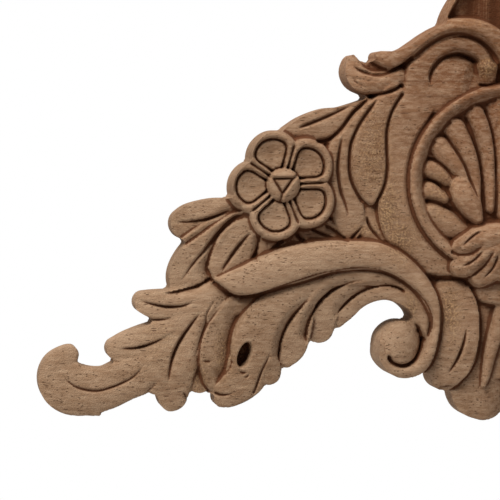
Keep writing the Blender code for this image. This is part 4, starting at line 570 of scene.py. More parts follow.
def ring_and_shell(r):
    """Oval ring with a skirt outside it and a ribbed shell within."""
    s = SKIRT_TOP
    r.leaf([(-20, 29, 3.6, s - 0.4), (-29, 28, 5.6, s - 0.2), (-34, 20, 5.6, s), (-36.6, 10, 5, s + 0.2),
        (-37, 0, 5.2, s + 0.2), (-37.4, -7, 5.8, s), (-36, -13.5, 6, s - 0.2), (-31, -19.8, 6, s - 0.4),
        (-25.2, -24.1, 4.8, s - 0.6), (-20, -26.2, 3.6, s - 0.8)], crown=0.5, edge=1.2)
    r.tuck([(-28, -28.3), (-25, -29), (-20, -29.3), (-15.5, -30.4), (-13.2, -32.2)], 2.6, 2.2, (0.15, 0.1))
    span = np.hypot(r.x / RING_HALF_WIDTH, (r.z - RING_AT) / RING_HALF_HEIGHT)
    inside = (1.0 - span) * 0.49 * (RING_HALF_WIDTH + RING_HALF_HEIGHT)
    drop = np.clip((inside - RING_SHOULDER) / (RING_BAND - RING_SHOULDER), 0.0, 1.0) ** 1.7
    h = RING_TOP - (RING_TOP - RING_FLOOR) * drop
    h = np.where(inside < 0.0, RING_TOP + WALL_SLOPE * inside, h)
    r.h = np.maximum(r.h, h)
    r.foot = np.maximum(r.foot, np.where(inside > -3.0, inside, OUTSIDE))
    under = np.clip(1.0 + inside / RING_LINE_WIDTH, 0.0, 1.0) ** 1.4 * (inside < 0.0)
    low = np.clip((r.z - RING_LINE_LOW) / 3.0, 0.0, 1.0)
    high = np.clip((RING_LINE_HIGH - r.z) / 9.0, 0.0, 1.0)
    r.h = r.h - RING_LINE_DEPTH * under * low * high
    ribs = [
        [(-2.8, -10, 2.4, 11.8), (-2.8, 0, 2.8, 12), (-3.2, 12, 3.2, 12.4), (-4.2, 20, 3.7, 12.4),
            (-5, 24, 3.6, 12)],
        [(-7.4, -8, 1.4, 12), (-7.5, -1, 1.9, 12.2), (-7.8, 4, 2.2, 12.4), (-8.2, 9, 2.5, 12.6),
            (-9.5, 14, 2.9, 12.8), (-10.8, 18, 3.1, 12.8), (-12.3, 21.9, 3, 12.2)],
        [(-11.4, -6, 1, 12.2), (-12.4, 1, 1.9, 12.6), (-13.2, 4.5, 2.3, 12.8), (-14.4, 8, 2.7, 13),
            (-16.2, 12, 3.1, 13), (-18.9, 17.3, 3.5, 12.4)],
        [(-14.6, -0.5, 1.6, 12.6), (-17.3, 3.6, 2.3, 12.8), (-19.4, 6.4, 2.8, 13), (-21.6, 9, 3, 12.8),
            (-23.8, 11.8, 3.1, 12.4)],
    ]
    for rib in ribs:
        r.leaf(rib, crown=1.8, tilt=-0.7, edge=1.4, foot=False)
    small = [
        [(-21.2, 1.2, 1.8, 12.2), (-23.8, 3.4, 2.5, 12.4), (-26.2, 4.8, 2.8, 12.2)],
        [(-22.4, -4.6, 1.8, 12.2), (-24.6, -3.2, 2.5, 12.4), (-26.8, -2, 2.8, 12.2)],
        [(-16.6, -14.4, 3, 12), (-20.6, -12.6, 4.1, 12.2), (-24.4, -10, 3.4, 12.2), (-26.6, -8.2, 2.4, 12)],
    ]
    for lobe in small:
        r.leaf(lobe, crown=1.6, edge=1.4, foot=False)
    r.leaf([(-11.6, -11, 1.8, 14), (-13.9, -6.6, 3.4, 14.4), (-16, -3, 3.8, 14.6), (-17.2, -0.4, 3.2, 14)],
        crown=1.6, edge=1.6, foot=False)
    grooves = [
        [(-22.3, 16), (-19.5, 12), (-17.2, 8), (-15.5, 5), (-14.3, 1.5), (-12.8, -2), (-11, -6)],
        [(-15.4, 21.4), (-13.5, 17.5), (-12.2, 13), (-10.8, 8), (-10.2, 4), (-9.8, -1)],
        [(-8.9, 23.6), (-7.4, 18.5), (-6.4, 13.5), (-5.8, 7), (-5.6, -2)],
        [(-27.6, 8.6), (-24, 6.7), (-22, 5.2), (-19.6, 2.6)],
        [(-28.6, 1.7), (-25.5, 0.8), (-23.5, -0.6), (-22.3, -2.6)],
    ]
    for groove in grooves:
        r.vee(groove, 1.3, 1.5, (0.05, 0.2))
    r.vee([(-28.4, -5.2), (-25, -5.4), (-22, -6.7), (-18.5, -9), (-15.5, -12), (-13, -12.8)], 2.4, 1.4,
        (0.05, 0.1))


def petal_angles():
    return [math.radians(PETAL_FIRST + 360.0 / PETALS * k) for k in range(PETALS)]


def petal_reach(r):
    """Distance inside the five round petals, and the offsets from the flower's middle."""
    dx = r.x - FLOWER_AT[0]
    dz = r.z - FLOWER_AT[1]
    body = PETAL_DISC - np.hypot(dx, dz)
    for a in petal_angles():
        d = np.hypot(dx - PETAL_REACH * math.cos(a), dz - PETAL_REACH * math.sin(a))
        body = np.maximum(body, PETAL_RADIUS - d)
    return dx, dz, body


def flower(r):
    """The flower's raised face, over whatever leaf lies behind it."""
    dx, dz, body = petal_reach(r)
    h = FLOWER_TOP + 1.0 - 0.9 * fall(1.0 - np.clip(body / 1.1, 0.0, 1.0))
    h = np.where(body < 0.0, h + 4.5 * body, h)
    r.h = np.where(body > -3.0, np.maximum(np.where(body > -0.2, -20.0, r.h), h), r.h)
    r.foot = np.maximum(r.foot, np.where(body > -3.0, body + 0.7, OUTSIDE))


def flower_detail(r):
    """Sunk petal fields, the grooves between petals and the three-sided boss."""
    dx, dz, body = petal_reach(r)
    away = np.hypot(dx, dz)
    h = r.h
    outside = away > BOSS_RADIUS
    groove = PETAL_GROOVE * (1.0 + 0.7 * np.clip((8.0 - away) / 2.0, 0.0, 1.0))
    for a in petal_angles():
        px, pz = turned(dx, dz, a)
        half = math.pi / PETALS
        side = px * math.sin(half) - np.abs(pz) * math.cos(half) - PETAL_WEB
        loop = PETAL_RADIUS - PETAL_RIM - np.hypot(px - PETAL_REACH, pz)
        loop = np.where(px < PETAL_REACH, PETAL_RADIUS - PETAL_RIM - np.abs(pz), loop)
        corner = np.hypot(np.minimum(side - FIELD_CORNER, 0.0), np.minimum(loop - FIELD_CORNER, 0.0))
        at_corner = (side < FIELD_CORNER) & (loop < FIELD_CORNER)
        d = np.where(at_corner, FIELD_CORNER - corner, np.minimum(side, loop))
        d = np.where(outside, d, -5.0)
        h = h - groove * np.clip(1.0 - np.abs(d) / PETAL_GROOVE_HALF, 0.0, 1.0)
        h = np.where(d > 0.0, h - FIELD_STEP - FIELD_DISH * np.clip(d / 3.5, 0.0, 1.0), h)
        qx, qz = turned(dx, dz, a + half)
        fade = np.clip((PETAL_SEAM_END - qx) / 1.5, 0.0, 1.0) * (qx > BOSS_RADIUS)
        h = h - groove * fade * np.clip(1.0 - np.abs(qz) / PETAL_GROOVE_HALF, 0.0, 1.0)
    away_from_side = np.full(dx.shape, FAR_OUT)
    lines = np.zeros(dx.shape)
    for i in range(3):
        x0, z0 = BOSS_TRIANGLE[i]
        x1, z1 = BOSS_TRIANGLE[(i + 1) % 3]
        length = math.hypot(x1 - x0, z1 - z0)
        t = np.clip(((dx - x0) * (x1 - x0) + (dz - z0) * (z1 - z0)) / length ** 2, 0.0, 1.0)
        d = np.hypot(dx - x0 - t * (x1 - x0), dz - z0 - t * (z1 - z0))
        lines = np.maximum(lines, np.clip(1.0 - d / PETAL_GROOVE_HALF, 0.0, 1.0))
        reach = math.hypot(x0, z0)
        along = (dx * x0 + dz * z0) / reach
        across = np.abs(dx * z0 - dz * x0) / reach
        arm = np.clip(1.0 - across / PETAL_GROOVE_HALF, 0.0, 1.0) * (along > reach)
        lines = np.maximum(lines, arm)
        side = ((z1 - z0) * (dx - x0) - (x1 - x0) * (dz - z0)) / -length
        away_from_side = np.maximum(away_from_side, side)
    facets = FLOWER_TOP + BOSS_RISE - BOSS_SLOPE * np.maximum(away_from_side, 0.0)
    facets = np.where(away_from_side < 0.0, facets - BOSS_SINK, facets)
    facets = facets - 0.5 * fall(np.clip(away / BOSS_RADIUS, 0.0, 1.0))
    h = np.where(away < BOSS_RADIUS, facets - PETAL_GROOVE * lines, h)
    h = h - 0.9 * np.clip(1.0 - np.abs(away - BOSS_RADIUS) / PETAL_GROOVE_HALF, 0.0, 1.0)
    r.h = h


def volute(r):
    """The turned-over top leaf with its hook, the bands of the volute and the knob."""
    r.leaf([(-51.5, 37, 2.4, 8.2), (-47.5, 36.4, 2.3, 7.8), (-43.5, 37.2, 2.8, 8)], crown=0.4, edge=0.9)
    r.leaf([(-37, 33.4, 3.4, 11.6), (-41, 31.9, 3.4, 12), (-46, 31.8, 3.4, 11.8), (-50, 33.4, 3.9, 11),
        (-51.7, 35.6, 3.8, 10.4), (-52.1, 37.8, 2.9, 9.8), (-52, 39, 2.1, 9.4)], crown=1.2, edge=1.6)
    r.leaf([(-44.3, 40.5, 1.8, 11.5), (-40, 39.6, 2.8, 12.8), (-36, 40.8, 2.9, 13.6), (-32, 43, 3.2, 14.2),
        (-28, 45.7, 3.2, 14.6), (-23.5, 48.2, 2.9, 15), (-17, 49.2, 2.5, 15.2), (-11, 48.4, 2.7, 15.2),
        (-6, 45.6, 2.9, 15), (-2.4, 41.4, 3, 14.6), (-0.2, 36.5, 2.8, 14.2)], crown=0.9, edge=1.1)
    r.leaf([(-30.2, 26, 5, 13), (-30.2, 34, 4.4, 13.2), (-28, 39.4, 3.7, 13.4), (-23.6, 43.2, 3.3, 13.6),
        (-17, 44.6, 3, 13.6), (-11, 42.8, 3, 13.4), (-7.6, 39.2, 2.8, 13)], crown=0.6)
    r.leaf([(-24.5, 27.5, 5, 13), (-17, 29.8, 3.6, 12.6)], crown=0.3)
    r.leaf([(-20.5, 29, 6.4, 12.6), (-18.4, 33.4, 8, 12.6)], crown=1.3)
    r.leaf([(-8.2, 32.6, 2.6, 11.8), (-8.3, 36.8, 3, 13.6)])
    r.vee([(-51.4, 37.3), (-49.5, 35.8), (-47, 34.9), (-44.5, 34.3), (-42, 34.5), (-39.5, 35.3),
        (-36.5, 37), (-33, 39.6)], 1.9, 2.2, (0.3, 0))
    r.vee([(-39.5, 35.3), (-36, 37.2), (-32, 40.2), (-29, 42.7), (-26, 44.8), (-22, 46.7), (-18, 47.3),
        (-14, 46.6), (-10.5, 44.8), (-8, 42.6), (-6.2, 39.8), (-5.4, 37.4)], 3.2, 2.6, (0.2, 0.1))
    r.vee([(-27, 31.2), (-26.9, 34), (-25.7, 37), (-23.4, 39.6), (-20, 41.1), (-17, 41.4), (-14, 40.2),
        (-11.2, 38.4)], 2.2, 2.2, (0.2, 0.05))
    r.vee([(-15.6, 28.6), (-13.6, 32), (-12.4, 35), (-11.6, 38.4)], 7, 1.5, (0.5, 0.3))
    r.vee([(-51, 28), (-47, 27.8), (-44, 28), (-42, 28.5), (-39, 29.5), (-36.2, 30.9)], 1.8, 2.8, (0, 0))
    r.vee([(-52.2, 33.4), (-50, 33), (-47, 32.6), (-43, 32.4)], 0.8, 0.5, (0.1, 0.8))
    r.vee([(-51.6, 32.8), (-49.6, 31.4), (-47, 30)], 0.9, 0.7, (0.1, 0.7))
    r.vee([(-45.2, 38.9), (-43.8, 37.6), (-41.8, 36.7)], 1, 1, (0.1, 0.5))
    r.vee([(-11.5, 31.4), (-8, 30.9), (-4, 31.6), (0, 32.4)], 1.6, 2, (0.2, 0))


def crest(r):
    """Pointed arch at the corner: a rim round a sunk, gently fluted field."""
    inside = CREST_ARC_RADIUS - np.hypot(r.x - CREST_ARC_AT[0], r.z - CREST_ARC_AT[1])
    inside = np.where((r.z > 40.0) & (r.x <= 0.0), inside, OUTSIDE)
    rim = CREST_TOP_LEVEL - 0.9 * fall(1.0 - np.clip(inside / 1.2, 0.0, 1.0))
    field = CREST_FLOOR + 0.5 * np.cos(r.x * math.pi / CREST_FLUTE) + 0.05 * (r.z - 50.0)
    h = np.where(inside > CREST_RIM, np.maximum(field, rim - 4.0 * (inside - CREST_RIM)), rim)
    h = np.where(inside < 0.0, h + WALL_SLOPE * inside, h)
    r.h = np.where(inside > -6.0, np.maximum(r.h, h), r.h)
    r.foot = np.maximum(r.foot, inside)


def cup(r):
    """The leafy cup that holds the shell, highest part of the carving."""
    r.sheet([[(0, -16.2, 3.2, 18.4), (-7.5, -16.6, 3.4, 18), (-12.5, -18.4, 4, 17), (-16.4, -19.9, 3, 15.8),
        (-18.3, -20.5, 1.8, 15)], [(-4, -20, 3, 18.2), (-9.5, -22.6, 3.4, 17.6), (-13.6, -25, 3.6, 16.6),
        (-17.4, -26, 3.1, 15.2)], [(0, -24, 3.2, 18.2), (-4, -25, 3.6, 17.6), (-8, -27.3, 3.6, 16.6),
        (-10.9, -29.4, 3, 15.4)], [(0, -26.4, 3.4, 17.6), (-4.4, -27.2, 3.2, 16.8)]], crown=1.2, edge=1.4,
        melt=1.2)
    creases = [
        [(-17.4, -19.6), (-15, -17.2), (-13, -15.6), (-11, -14.5)],
        [(-17.4, -26), (-14.5, -24.5), (-12.5, -22.8), (-10.8, -20.8)],
        [(-10.4, -29.6), (-8, -27), (-6.7, -24.5), (-6.2, -22)],
        [(-3.6, -29.6), (-3, -26.5), (-2.8, -23)],
    ]
    for crease in creases:
        r.vee(crease, 1.1, 1.3)
    r.tuck([(-20.6, -21.6), (-17, -22.4), (-14, -21.8), (-12, -20.2), (-10.8, -18.6)][::-1], 2.6, 1.3,
        (0.3, 0))
    r.tuck([(-14.4, -29.6), (-11, -26.6), (-9, -24), (-8, -22), (-7.6, -20.4)][::-1], 2.4, 1.2, (0.3, 0))


def eye_hole(r):
    """Leaning oval hole with a short slope at its rim."""
    along, across = turned(r.x - EYE_HOLE_AT[0], r.z - EYE_HOLE_AT[1], math.radians(EYE_HOLE_LEAN))
    q = np.hypot(along / EYE_HOLE_LONG, across / EYE_HOLE_SHORT)
    r.h = r.h - EYE_HOLE_DEPTH * np.clip((1.08 - q) / 0.25, 0.0, 1.0)


def carve(step):
    """Raised faces first, then what the cutter rounds off, then the cuts."""
    r = Relief(step)
    bed(r)
    arm_leaf(r)
    eyed_leaf(r)
    arch_lobes(r)
    side_leaves(r)
    falling_leaves(r)
    stem_and_scroll(r)
    foot(r)
    ring_and_shell(r)
    flower(r)
    volute(r)
    crest(r)
    cup(r)
    r.round_valleys()
    set_in_sides(r)
    flower_detail(r)
    r.cut_tucks()
    r.cut_vees()
    eye_hole(r)
    r.h = soften(r.h, SOFTEN / step)
    return r


def mirrored(r):
    """Both halves of the fields; the middle column is x = 0."""
    mid = int(np.argmin(np.abs(r.x[0])))
    left = slice(0, mid + 1)
    signs = ((r.x, -1.0), (r.z, 1.0), (r.h, 1.0), (r.foot, 1.0))
    return [np.hstack([field[:, left], sign * field[:, mid - 1::-1]]) for field, sign in signs]


def kept_cells(foot_in, step):
    """Grid cells inside the outline, with no two cells meeting at a corner only."""
    ok = foot_in > -0.45 * step
    cells = ok[:-1, :-1] & ok[:-1, 1:] & ok[1:, :-1] & ok[1:, 1:]
    for _ in range(20):
        a = cells[:-1, :-1]
        b = cells[:-1, 1:]
        c = cells[1:, :-1]
        d = cells[1:, 1:]
        one = a & d & ~b & ~c
        two = b & c & ~a & ~d
        if not (one.any() or two.any()):
            break
        b |= one
        a |= two
    return cells


def solid(name, r):
    """Closed mesh between the relief and the flat back, in metres."""
    x, z, h, foot_in = mirrored(r)
    cells = kept_cells(foot_in, r.step)
    gz, gx = np.gradient(foot_in, r.step)
    touch = np.zeros(x.shape, int)
    for di in (0, 1):
        for dj in (0, 1):
            touch[di:di + cells.shape[0], dj:dj + cells.shape[1]] += cells
    used = touch > 0
    rim = used & (touch < 4)
    size = np.clip(gx * gx + gz * gz, 0.25, None)
    move = np.where(rim, foot_in, 0.0)
    move = np.clip(move, -1.2 * r.step, 1.2 * r.step)
    px = x - move * gx / size
    pz = z - move * gz / size
    index = np.full(x.shape, -1)
    index[used] = np.arange(used.sum())
    count = int(used.sum())
    front = np.column_stack([px[used], -h[used], pz[used]]) * MM
    back = np.column_stack([px[used], np.zeros(count), pz[used]]) * MM
    a = index[:-1, :-1][cells]
    b = index[:-1, 1:][cells]
    c = index[1:, 1:][cells]
    d = index[1:, :-1][cells]
    ha = h[:-1, :-1][cells]
    hb = h[:-1, 1:][cells]
    hc = h[1:, 1:][cells]
    hd = h[1:, :-1][cells]
    flip = np.abs(ha - hc) > np.abs(hb - hd)
    t1 = np.where(flip[:, None], np.column_stack([a, b, d]), np.column_stack([a, b, c]))
    t2 = np.where(flip[:, None], np.column_stack([b, c, d]), np.column_stack([a, c, d]))
    top = np.vstack([t1, t2])
    under = top[:, ::-1] + count
    edges = np.vstack([top[:, [0, 1]], top[:, [1, 2]], top[:, [2, 0]]])
    key = edges[:, 0].astype(np.int64) * count + edges[:, 1]
    twin = edges[:, 1].astype(np.int64) * count + edges[:, 0]
    open_edge = edges[~np.isin(key, twin)]
    p = open_edge[:, 0]
    q = open_edge[:, 1]
    wall = np.vstack([np.column_stack([q, p, p + count]), np.column_stack([q, p + count, q + count])])
    mesh = bpy.data.meshes.new(name)
    mesh.from_pydata(np.vstack([front, back]).tolist(), [], np.vstack([top, under, wall]).tolist())
    mesh.update()
    return mesh


def thinned(mesh, name, triangles):
    """Fewer triangles: Decimate collapses the flattest first."""
    raw = bpy.data.objects.new(name + "_full", mesh)
    bpy.context.scene.collection.objects.link(raw)
    less = raw.modifiers.new("fewer", "DECIMATE")
    less.ratio = min(1.0, triangles / len(mesh.polygons))
    less.use_collapse_triangulate = True
    bpy.context.view_layer.update()
    done = bpy.data.meshes.new_from_object(raw.evaluated_get(bpy.context.evaluated_depsgraph_get()))
    done.name = name
    bpy.data.objects.remove(raw)
    bm = bmesh.new()
    bm.from_mesh(done)
    bmesh.ops.dissolve_degenerate(bm, dist=0.000005, edges=bm.edges)
    bmesh.ops.triangulate(bm, faces=bm.faces)
    for v in bm.verts:
        if v.co.y > -0.0003:
            v.co.y = 0.0
    bmesh.ops.recalc_face_normals(bm, faces=bm.faces)
    bm.to_mesh(done)
    bm.free()
    return done


def box_blur(field, reach):
    """Mean over a square window, twice, which is close to a bell-shaped blur."""
    for _ in range(2):
        for axis in (0, 1):
            p = np.pad(field, [(reach, reach) if a == axis else (0, 0) for a in (0, 1)], mode="edge")
            c = np.insert(np.cumsum(p, axis=axis), 0, 0.0, axis=axis)
            n = 2 * reach + 1
            size = c.shape[axis]
            field = (np.take(c, range(n, size), axis=axis) - np.take(c, range(0, size - n), axis=axis)) / n
    return field


def at_points(r, field, x, z):
    """Reading of a left-half grid at places on either side, in millimetres."""
    return between(field, (z - r.z[0, 0]) / r.step, (-np.abs(x) - r.x[0, 0]) / r.step)


def set_value(mesh, name, values):
    """One number at each vertex, for the material."""
    layer = mesh.attributes.new(name, "FLOAT", "POINT")
    layer.data.foreach_set("value", values.astype(np.float32))


# places where the end grain is torn: x, z, radius across, radius up, strength
TORN_GRAIN = [
    (-45.5, 9.0, 5.5, 12.0, 0.6),
    (-41.0, -8.0, 3.6, 9.0, 1.0),
    (-36.5, -17.5, 5.0, 6.0, 0.9),
    (-20.5, -41.0, 3.2, 8.0, 0.9),
    (-33.6, -38.5, 2.4, 5.0, 0.7),
    (-47.0, -14.5, 5.0, 2.6, 0.6),
    (-8.5, 36.5, 3.6, 3.6, 1.0),
    (-24.0, -2.0, 5.0, 9.0, 0.5),
    (-92.5, -52.5, 2.4, 6.5, 0.8),
    (-99.6, -60.5, 2.5, 4.0, 0.7),
    (-113.0, -47.0, 5.0, 7.0, 0.3),
    (-12.0, 60.0, 16.0, 12.0, 0.5),
]


def torn(x, z):
    """Sum of soft round patches, 1 where the fibres are torn most."""
    total = np.zeros_like(x)
    for cx, cz, rx, rz, strength in TORN_GRAIN:
        q = ((np.abs(x) + cx) / rx) ** 2 + ((z - cz) / rz) ** 2
        total = np.maximum(total, strength * np.exp(-0.9 * q))
    return total


# half width of the window in which a hollow is judged, and the depth that counts as a full one
# the near window sizes the cut valleys' browning and painted shade, the wide one the painted shade in wide
# hollows
NEAR_HOLLOW = (0.7, 0.45)
WIDE_HOLLOW = (2.6, 2.2)


def sunk(r, window):
    """How far a place lies under its surroundings, 1 for a full hollow, below 0 on a ridge."""
    reach, depth = window
    h = np.maximum(r.h, 0.0)
    return np.clip((box_blur(h, max(1, int(reach / r.step))) - h) / depth, -1.0, 1.0)


def linear(code):
    """sRGB hex to linear red, green, blue, alpha."""
    rgb = [int(code[i:i + 2], 16) / 255.0 for i in (1, 3, 5)]
    return tuple(c / 12.92 if c <= 0.04045 else ((c + 0.055) / 1.055) ** 2.4 for c in rgb) + (1.0,)


def add(tree, kind, links=(), out=0, **settings):
    """A node with its settings, and links given as (socket, source socket or value); returns one output."""
    node = tree.nodes.new(kind)
    for key, value in settings.items():
        setattr(node, key, value)
    for socket, source in links:
        if isinstance(source, bpy.types.NodeSocket):
            tree.links.new(source, node.inputs[socket])
        else:
            node.inputs[socket].default_value = source
    return node.outputs[out]


# heights of the glue lines between the strips of the board, their reach from the middle, strength
GLUE_LINES = [(32.4, 37.0, 0.8), (27.7, 37.0, 0.45), (20.9, 40.0, 0.3), (0.9, 50.0, 0.35)]
GLUE_LINE_WIDTH = 0.28
# the colour turns redder and darker from the pale arms to the crest, over this many millimetres of
# distance from the middle, less a share of the height
CREST_TINT_FROM = 80.0
CREST_TINT_TO = -10.0
CREST_TINT_LEAN = -0.8
# pores: length against the short ones, share left out, size and shift of their pattern
PORES = ((1.0, 0.68, 0.30, 1.7), (3.2, 0.64, 0.26, 5.3))
# weights in the bump of streaks, fine mottle, pores and torn tufts
BUMP_STREAK = 0.18
BUMP_SPECK = 0.42
BUMP_PORE = -0.14
BUMP_TUFT = 0.6


def rubberwood(settings):
    """Raw rubberwood, machine carved and lightly sanded, unfinished.

    Gives the eye short dark open pores along the grain, faint streaks, glue lines between the
    strips of the board, cut valleys browned by the cutter and darkened further as painted shade,
    painted shade in wide hollows, and dull speckle where end grain is torn.
    """
    mat = bpy.data.materials.new("raw_rubberwood")
    mat.use_nodes = True
    tree = mat.node_tree
    shader = tree.nodes["Principled BSDF"]
    maths = "ShaderNodeMath"
    mix = "ShaderNodeMix"
    noise = "ShaderNodeTexNoise"
    ramp = "ShaderNodeMapRange"
    stretch = "ShaderNodeMapping"
    laid = {"out": 2, "data_type": "RGBA"}
    times = {"out": 2, "data_type": "RGBA", "blend_type": "MULTIPLY"}
    place = add(tree, "ShaderNodeTexCoord", out="Object")
    mm = add(tree, stretch, [("Vector", place), ("Scale", (1 / MM, 1 / MM, 1 / MM))])
    near, wide, fuzz = [add(tree, "ShaderNodeAttribute", out="Fac", attribute_name=name)
                        for name in ("groove_burn_and_shade", "painted_hollow_shade", "torn")]

    # tone drifts over some 30 mm
    far = add(tree, stretch, [("Vector", mm), ("Scale", (0.4, 1.0, 1.0))])
    drift = add(tree, noise, [("Vector", far), ("Scale", 0.035), ("Detail", 2.0)])
    drift = add(tree, ramp, [(0, drift), (1, 0.32), (2, 0.68)])
    dark, light = linear(settings.wood_dark), linear(settings.wood_light)
    body = add(tree, mix, [(0, drift), (6, dark), (7, light)], **laid)

    # redder and darker towards the crest
    across = add(tree, "ShaderNodeSeparateXYZ", [(0, mm)], out="X")
    side = add(tree, maths, [(0, across)], operation="ABSOLUTE")
    up = add(tree, "ShaderNodeSeparateXYZ", [(0, mm)], out="Z")
    off = add(tree, maths, [(0, up), (1, CREST_TINT_LEAN), (2, side)], operation="MULTIPLY_ADD")
    crest_tint = add(tree, ramp, [(0, off), (1, CREST_TINT_FROM), (2, CREST_TINT_TO)])
    body = add(tree, mix, [(0, crest_tint), (6, body), (7, linear(settings.crest_tint))], **times)

    # streaks about 0.5 mm high run along the grain
    along = add(tree, stretch, [("Vector", mm), ("Scale", (0.035, 1.0, 1.0))])
    streak = add(tree, noise, [("Vector", along), ("Scale", 0.9), ("Detail", 3.0), ("Roughness", 0.6)])
    shade = add(tree, ramp, [(0, streak), (1, 0.35), (2, 0.75), (4, 0.36)])
    body = add(tree, mix, [(0, shade), (6, body), (7, linear(settings.streak))], **times)

    # the sanded fibres are faintly mottled, in spots some 1 mm high and 3 mm long
    speck = add(tree, noise, [("Vector", mm), ("Scale", 2.4), ("Detail", 2.0), ("Roughness", 0.7)])
    grain = add(tree, stretch, [("Vector", mm), ("Scale", (0.3, 1.0, 1.0))])
    spots = add(tree, noise, [("Vector", grain), ("Scale", 0.8), ("Detail", 4.0), ("Roughness", 0.75)])
    pale = add(tree, ramp, [(0, spots), (1, 0.42), (2, 0.70), (4, 0.42)])
    body = add(tree, mix, [(0, pale), (6, body), (7, linear(settings.pale))], **laid)

    # open pores, 0.2 to 0.3 mm wide and 1 to 3 mm long, thick in some patches and few in others
    patch = add(tree, noise, [("Vector", mm), ("Scale", 0.09), ("Detail", 1.0)])
    pore = 0.0
    for length, spread, size, shift in PORES:
        cells = add(tree, stretch, [("Vector", mm), ("Location", (shift, shift, shift)),
                                    ("Scale", (0.75 / length, 1.3, 1.3))])
        middle = add(tree, "ShaderNodeTexVoronoi", [("Vector", cells), ("Scale", 1.0)], out="Distance")
        kind = add(tree, "ShaderNodeTexVoronoi", [("Vector", cells), ("Scale", 1.0)], out="Color")
        chosen = add(tree, maths, [(0, kind), (1, patch)], operation="ADD")
        chosen = add(tree, maths, [(0, chosen), (1, 0.5 + spread)], operation="GREATER_THAN")
        spot = add(tree, ramp, [(0, middle), (1, size), (2, 0.6 * size)])
        spot = add(tree, maths, [(0, spot), (1, chosen)], operation="MULTIPLY")
        pore = add(tree, maths, [(0, spot), (1, pore)], operation="MAXIMUM")
    deep = add(tree, maths, [(0, pore), (1, 0.66)], operation="MULTIPLY")
    body = add(tree, mix, [(0, deep), (6, body), (7, linear(settings.pore))], **laid)

    # glue lines, broken up by the streaks
    for level, reach, strength in GLUE_LINES:
        line = add(tree, maths, [(0, up), (1, level), (2, GLUE_LINE_WIDTH)], operation="COMPARE")
        here = add(tree, maths, [(0, side), (1, reach)], operation="LESS_THAN")
        for share in (here, streak, strength):
            line = add(tree, maths, [(0, line), (1, share)], operation="MULTIPLY")
        body = add(tree, mix, [(0, line), (6, body), (7, linear(settings.groove))], **laid)

    # torn end grain: pale and dark speckle, 0.5 to 0.9 mm, some twice the real size so that it shows
    tufts = add(tree, noise, [("Vector", mm), ("Scale", 1.5), ("Detail", 1.5), ("Roughness", 0.7)])
    grit = add(tree, ramp, [(0, tufts), (1, 0.44), (2, 0.64)])
    dark, light = linear(settings.torn_dark), linear(settings.torn_light)
    grit = add(tree, mix, [(0, grit), (6, dark), (7, light)], **laid)
    share = add(tree, maths, [(0, fuzz), (1, 0.66)], operation="MULTIPLY")
    body = add(tree, mix, [(0, share), (6, body), (7, grit)], **laid)

    # painted shade: wide hollows darkened by a tint where shade falls; the cut valleys browned by the cutter
    # and darkened further as painted shade
    soft = add(tree, ramp, [(0, wide), (1, 0.05), (2, 0.9), (4, 0.65)])
    body = add(tree, mix, [(0, soft), (6, body), (7, linear(settings.hollow))], **times)
    # the cut valleys: real browning by the cutter and painted shade, in one dark colour
    ragged = add(tree, maths, [(0, speck), (1, 0.6), (2, near)], operation="MULTIPLY_ADD")
    cut = add(tree, ramp, [(0, ragged), (1, 0.52), (2, 0.92), (4, 0.86)])
    body = add(tree, mix, [(0, cut), (6, body), (7, linear(settings.groove))], **laid)
    tree.links.new(body, shader.inputs["Base Color"])
    shader.inputs["Roughness"].default_value = 0.75
    shader.inputs["Specular IOR Level"].default_value = 0.2

    # pores and torn fibres as small dents
    tuft = add(tree, maths, [(0, tufts), (1, fuzz)], operation="MULTIPLY")
    height = 0.0
    for dent, weight in ((streak, BUMP_STREAK), (speck, BUMP_SPECK), (pore, BUMP_PORE), (tuft, BUMP_TUFT)):
        height = add(tree, maths, [(0, dent), (1, weight), (2, height)], operation="MULTIPLY_ADD")
    bump = add(tree, "ShaderNodeBump", [("Height", height), ("Strength", 1.0), ("Distance", 1 * MM)])
    tree.links.new(bump, shader.inputs["Normal"])
    return mat


# marks begin this far out of the back, inside the outline, and less than so far under the relief
BACK_CLEAR = 0.5
WALL_CLEAR = -0.2
DROP_CLEAR = 0.8


def mark(mesh, r):
    """Values for the material: painted shade in the hollows of the carved face only, with the cutter's
    browning in the cut valleys, and torn grain all over but on the back.
    """
    co = np.zeros(len(mesh.vertices) * 3)
    mesh.vertices.foreach_get("co", co)
    x, y, z = (co.reshape(-1, 3) / MM).T
    front = np.clip(-y - BACK_CLEAR, 0.0, 1.0)
    inner = at_points(r, r.foot, x, z)
    on_top = front * np.clip((inner - WALL_CLEAR) / 0.6, 0.0, 1.0)
    level = at_points(r, np.maximum(r.h, 0.0), x, z)
    on_top = on_top * np.clip(1.0 - (level + y - DROP_CLEAR), 0.0, 1.0)
    set_value(mesh, "groove_burn_and_shade", at_points(r, sunk(r, NEAR_HOLLOW), x, z) * on_top)
    set_value(mesh, "painted_hollow_shade", at_points(r, sunk(r, WIDE_HOLLOW), x, z) * on_top)
    set_value(mesh, "torn", torn(x, z) * front)


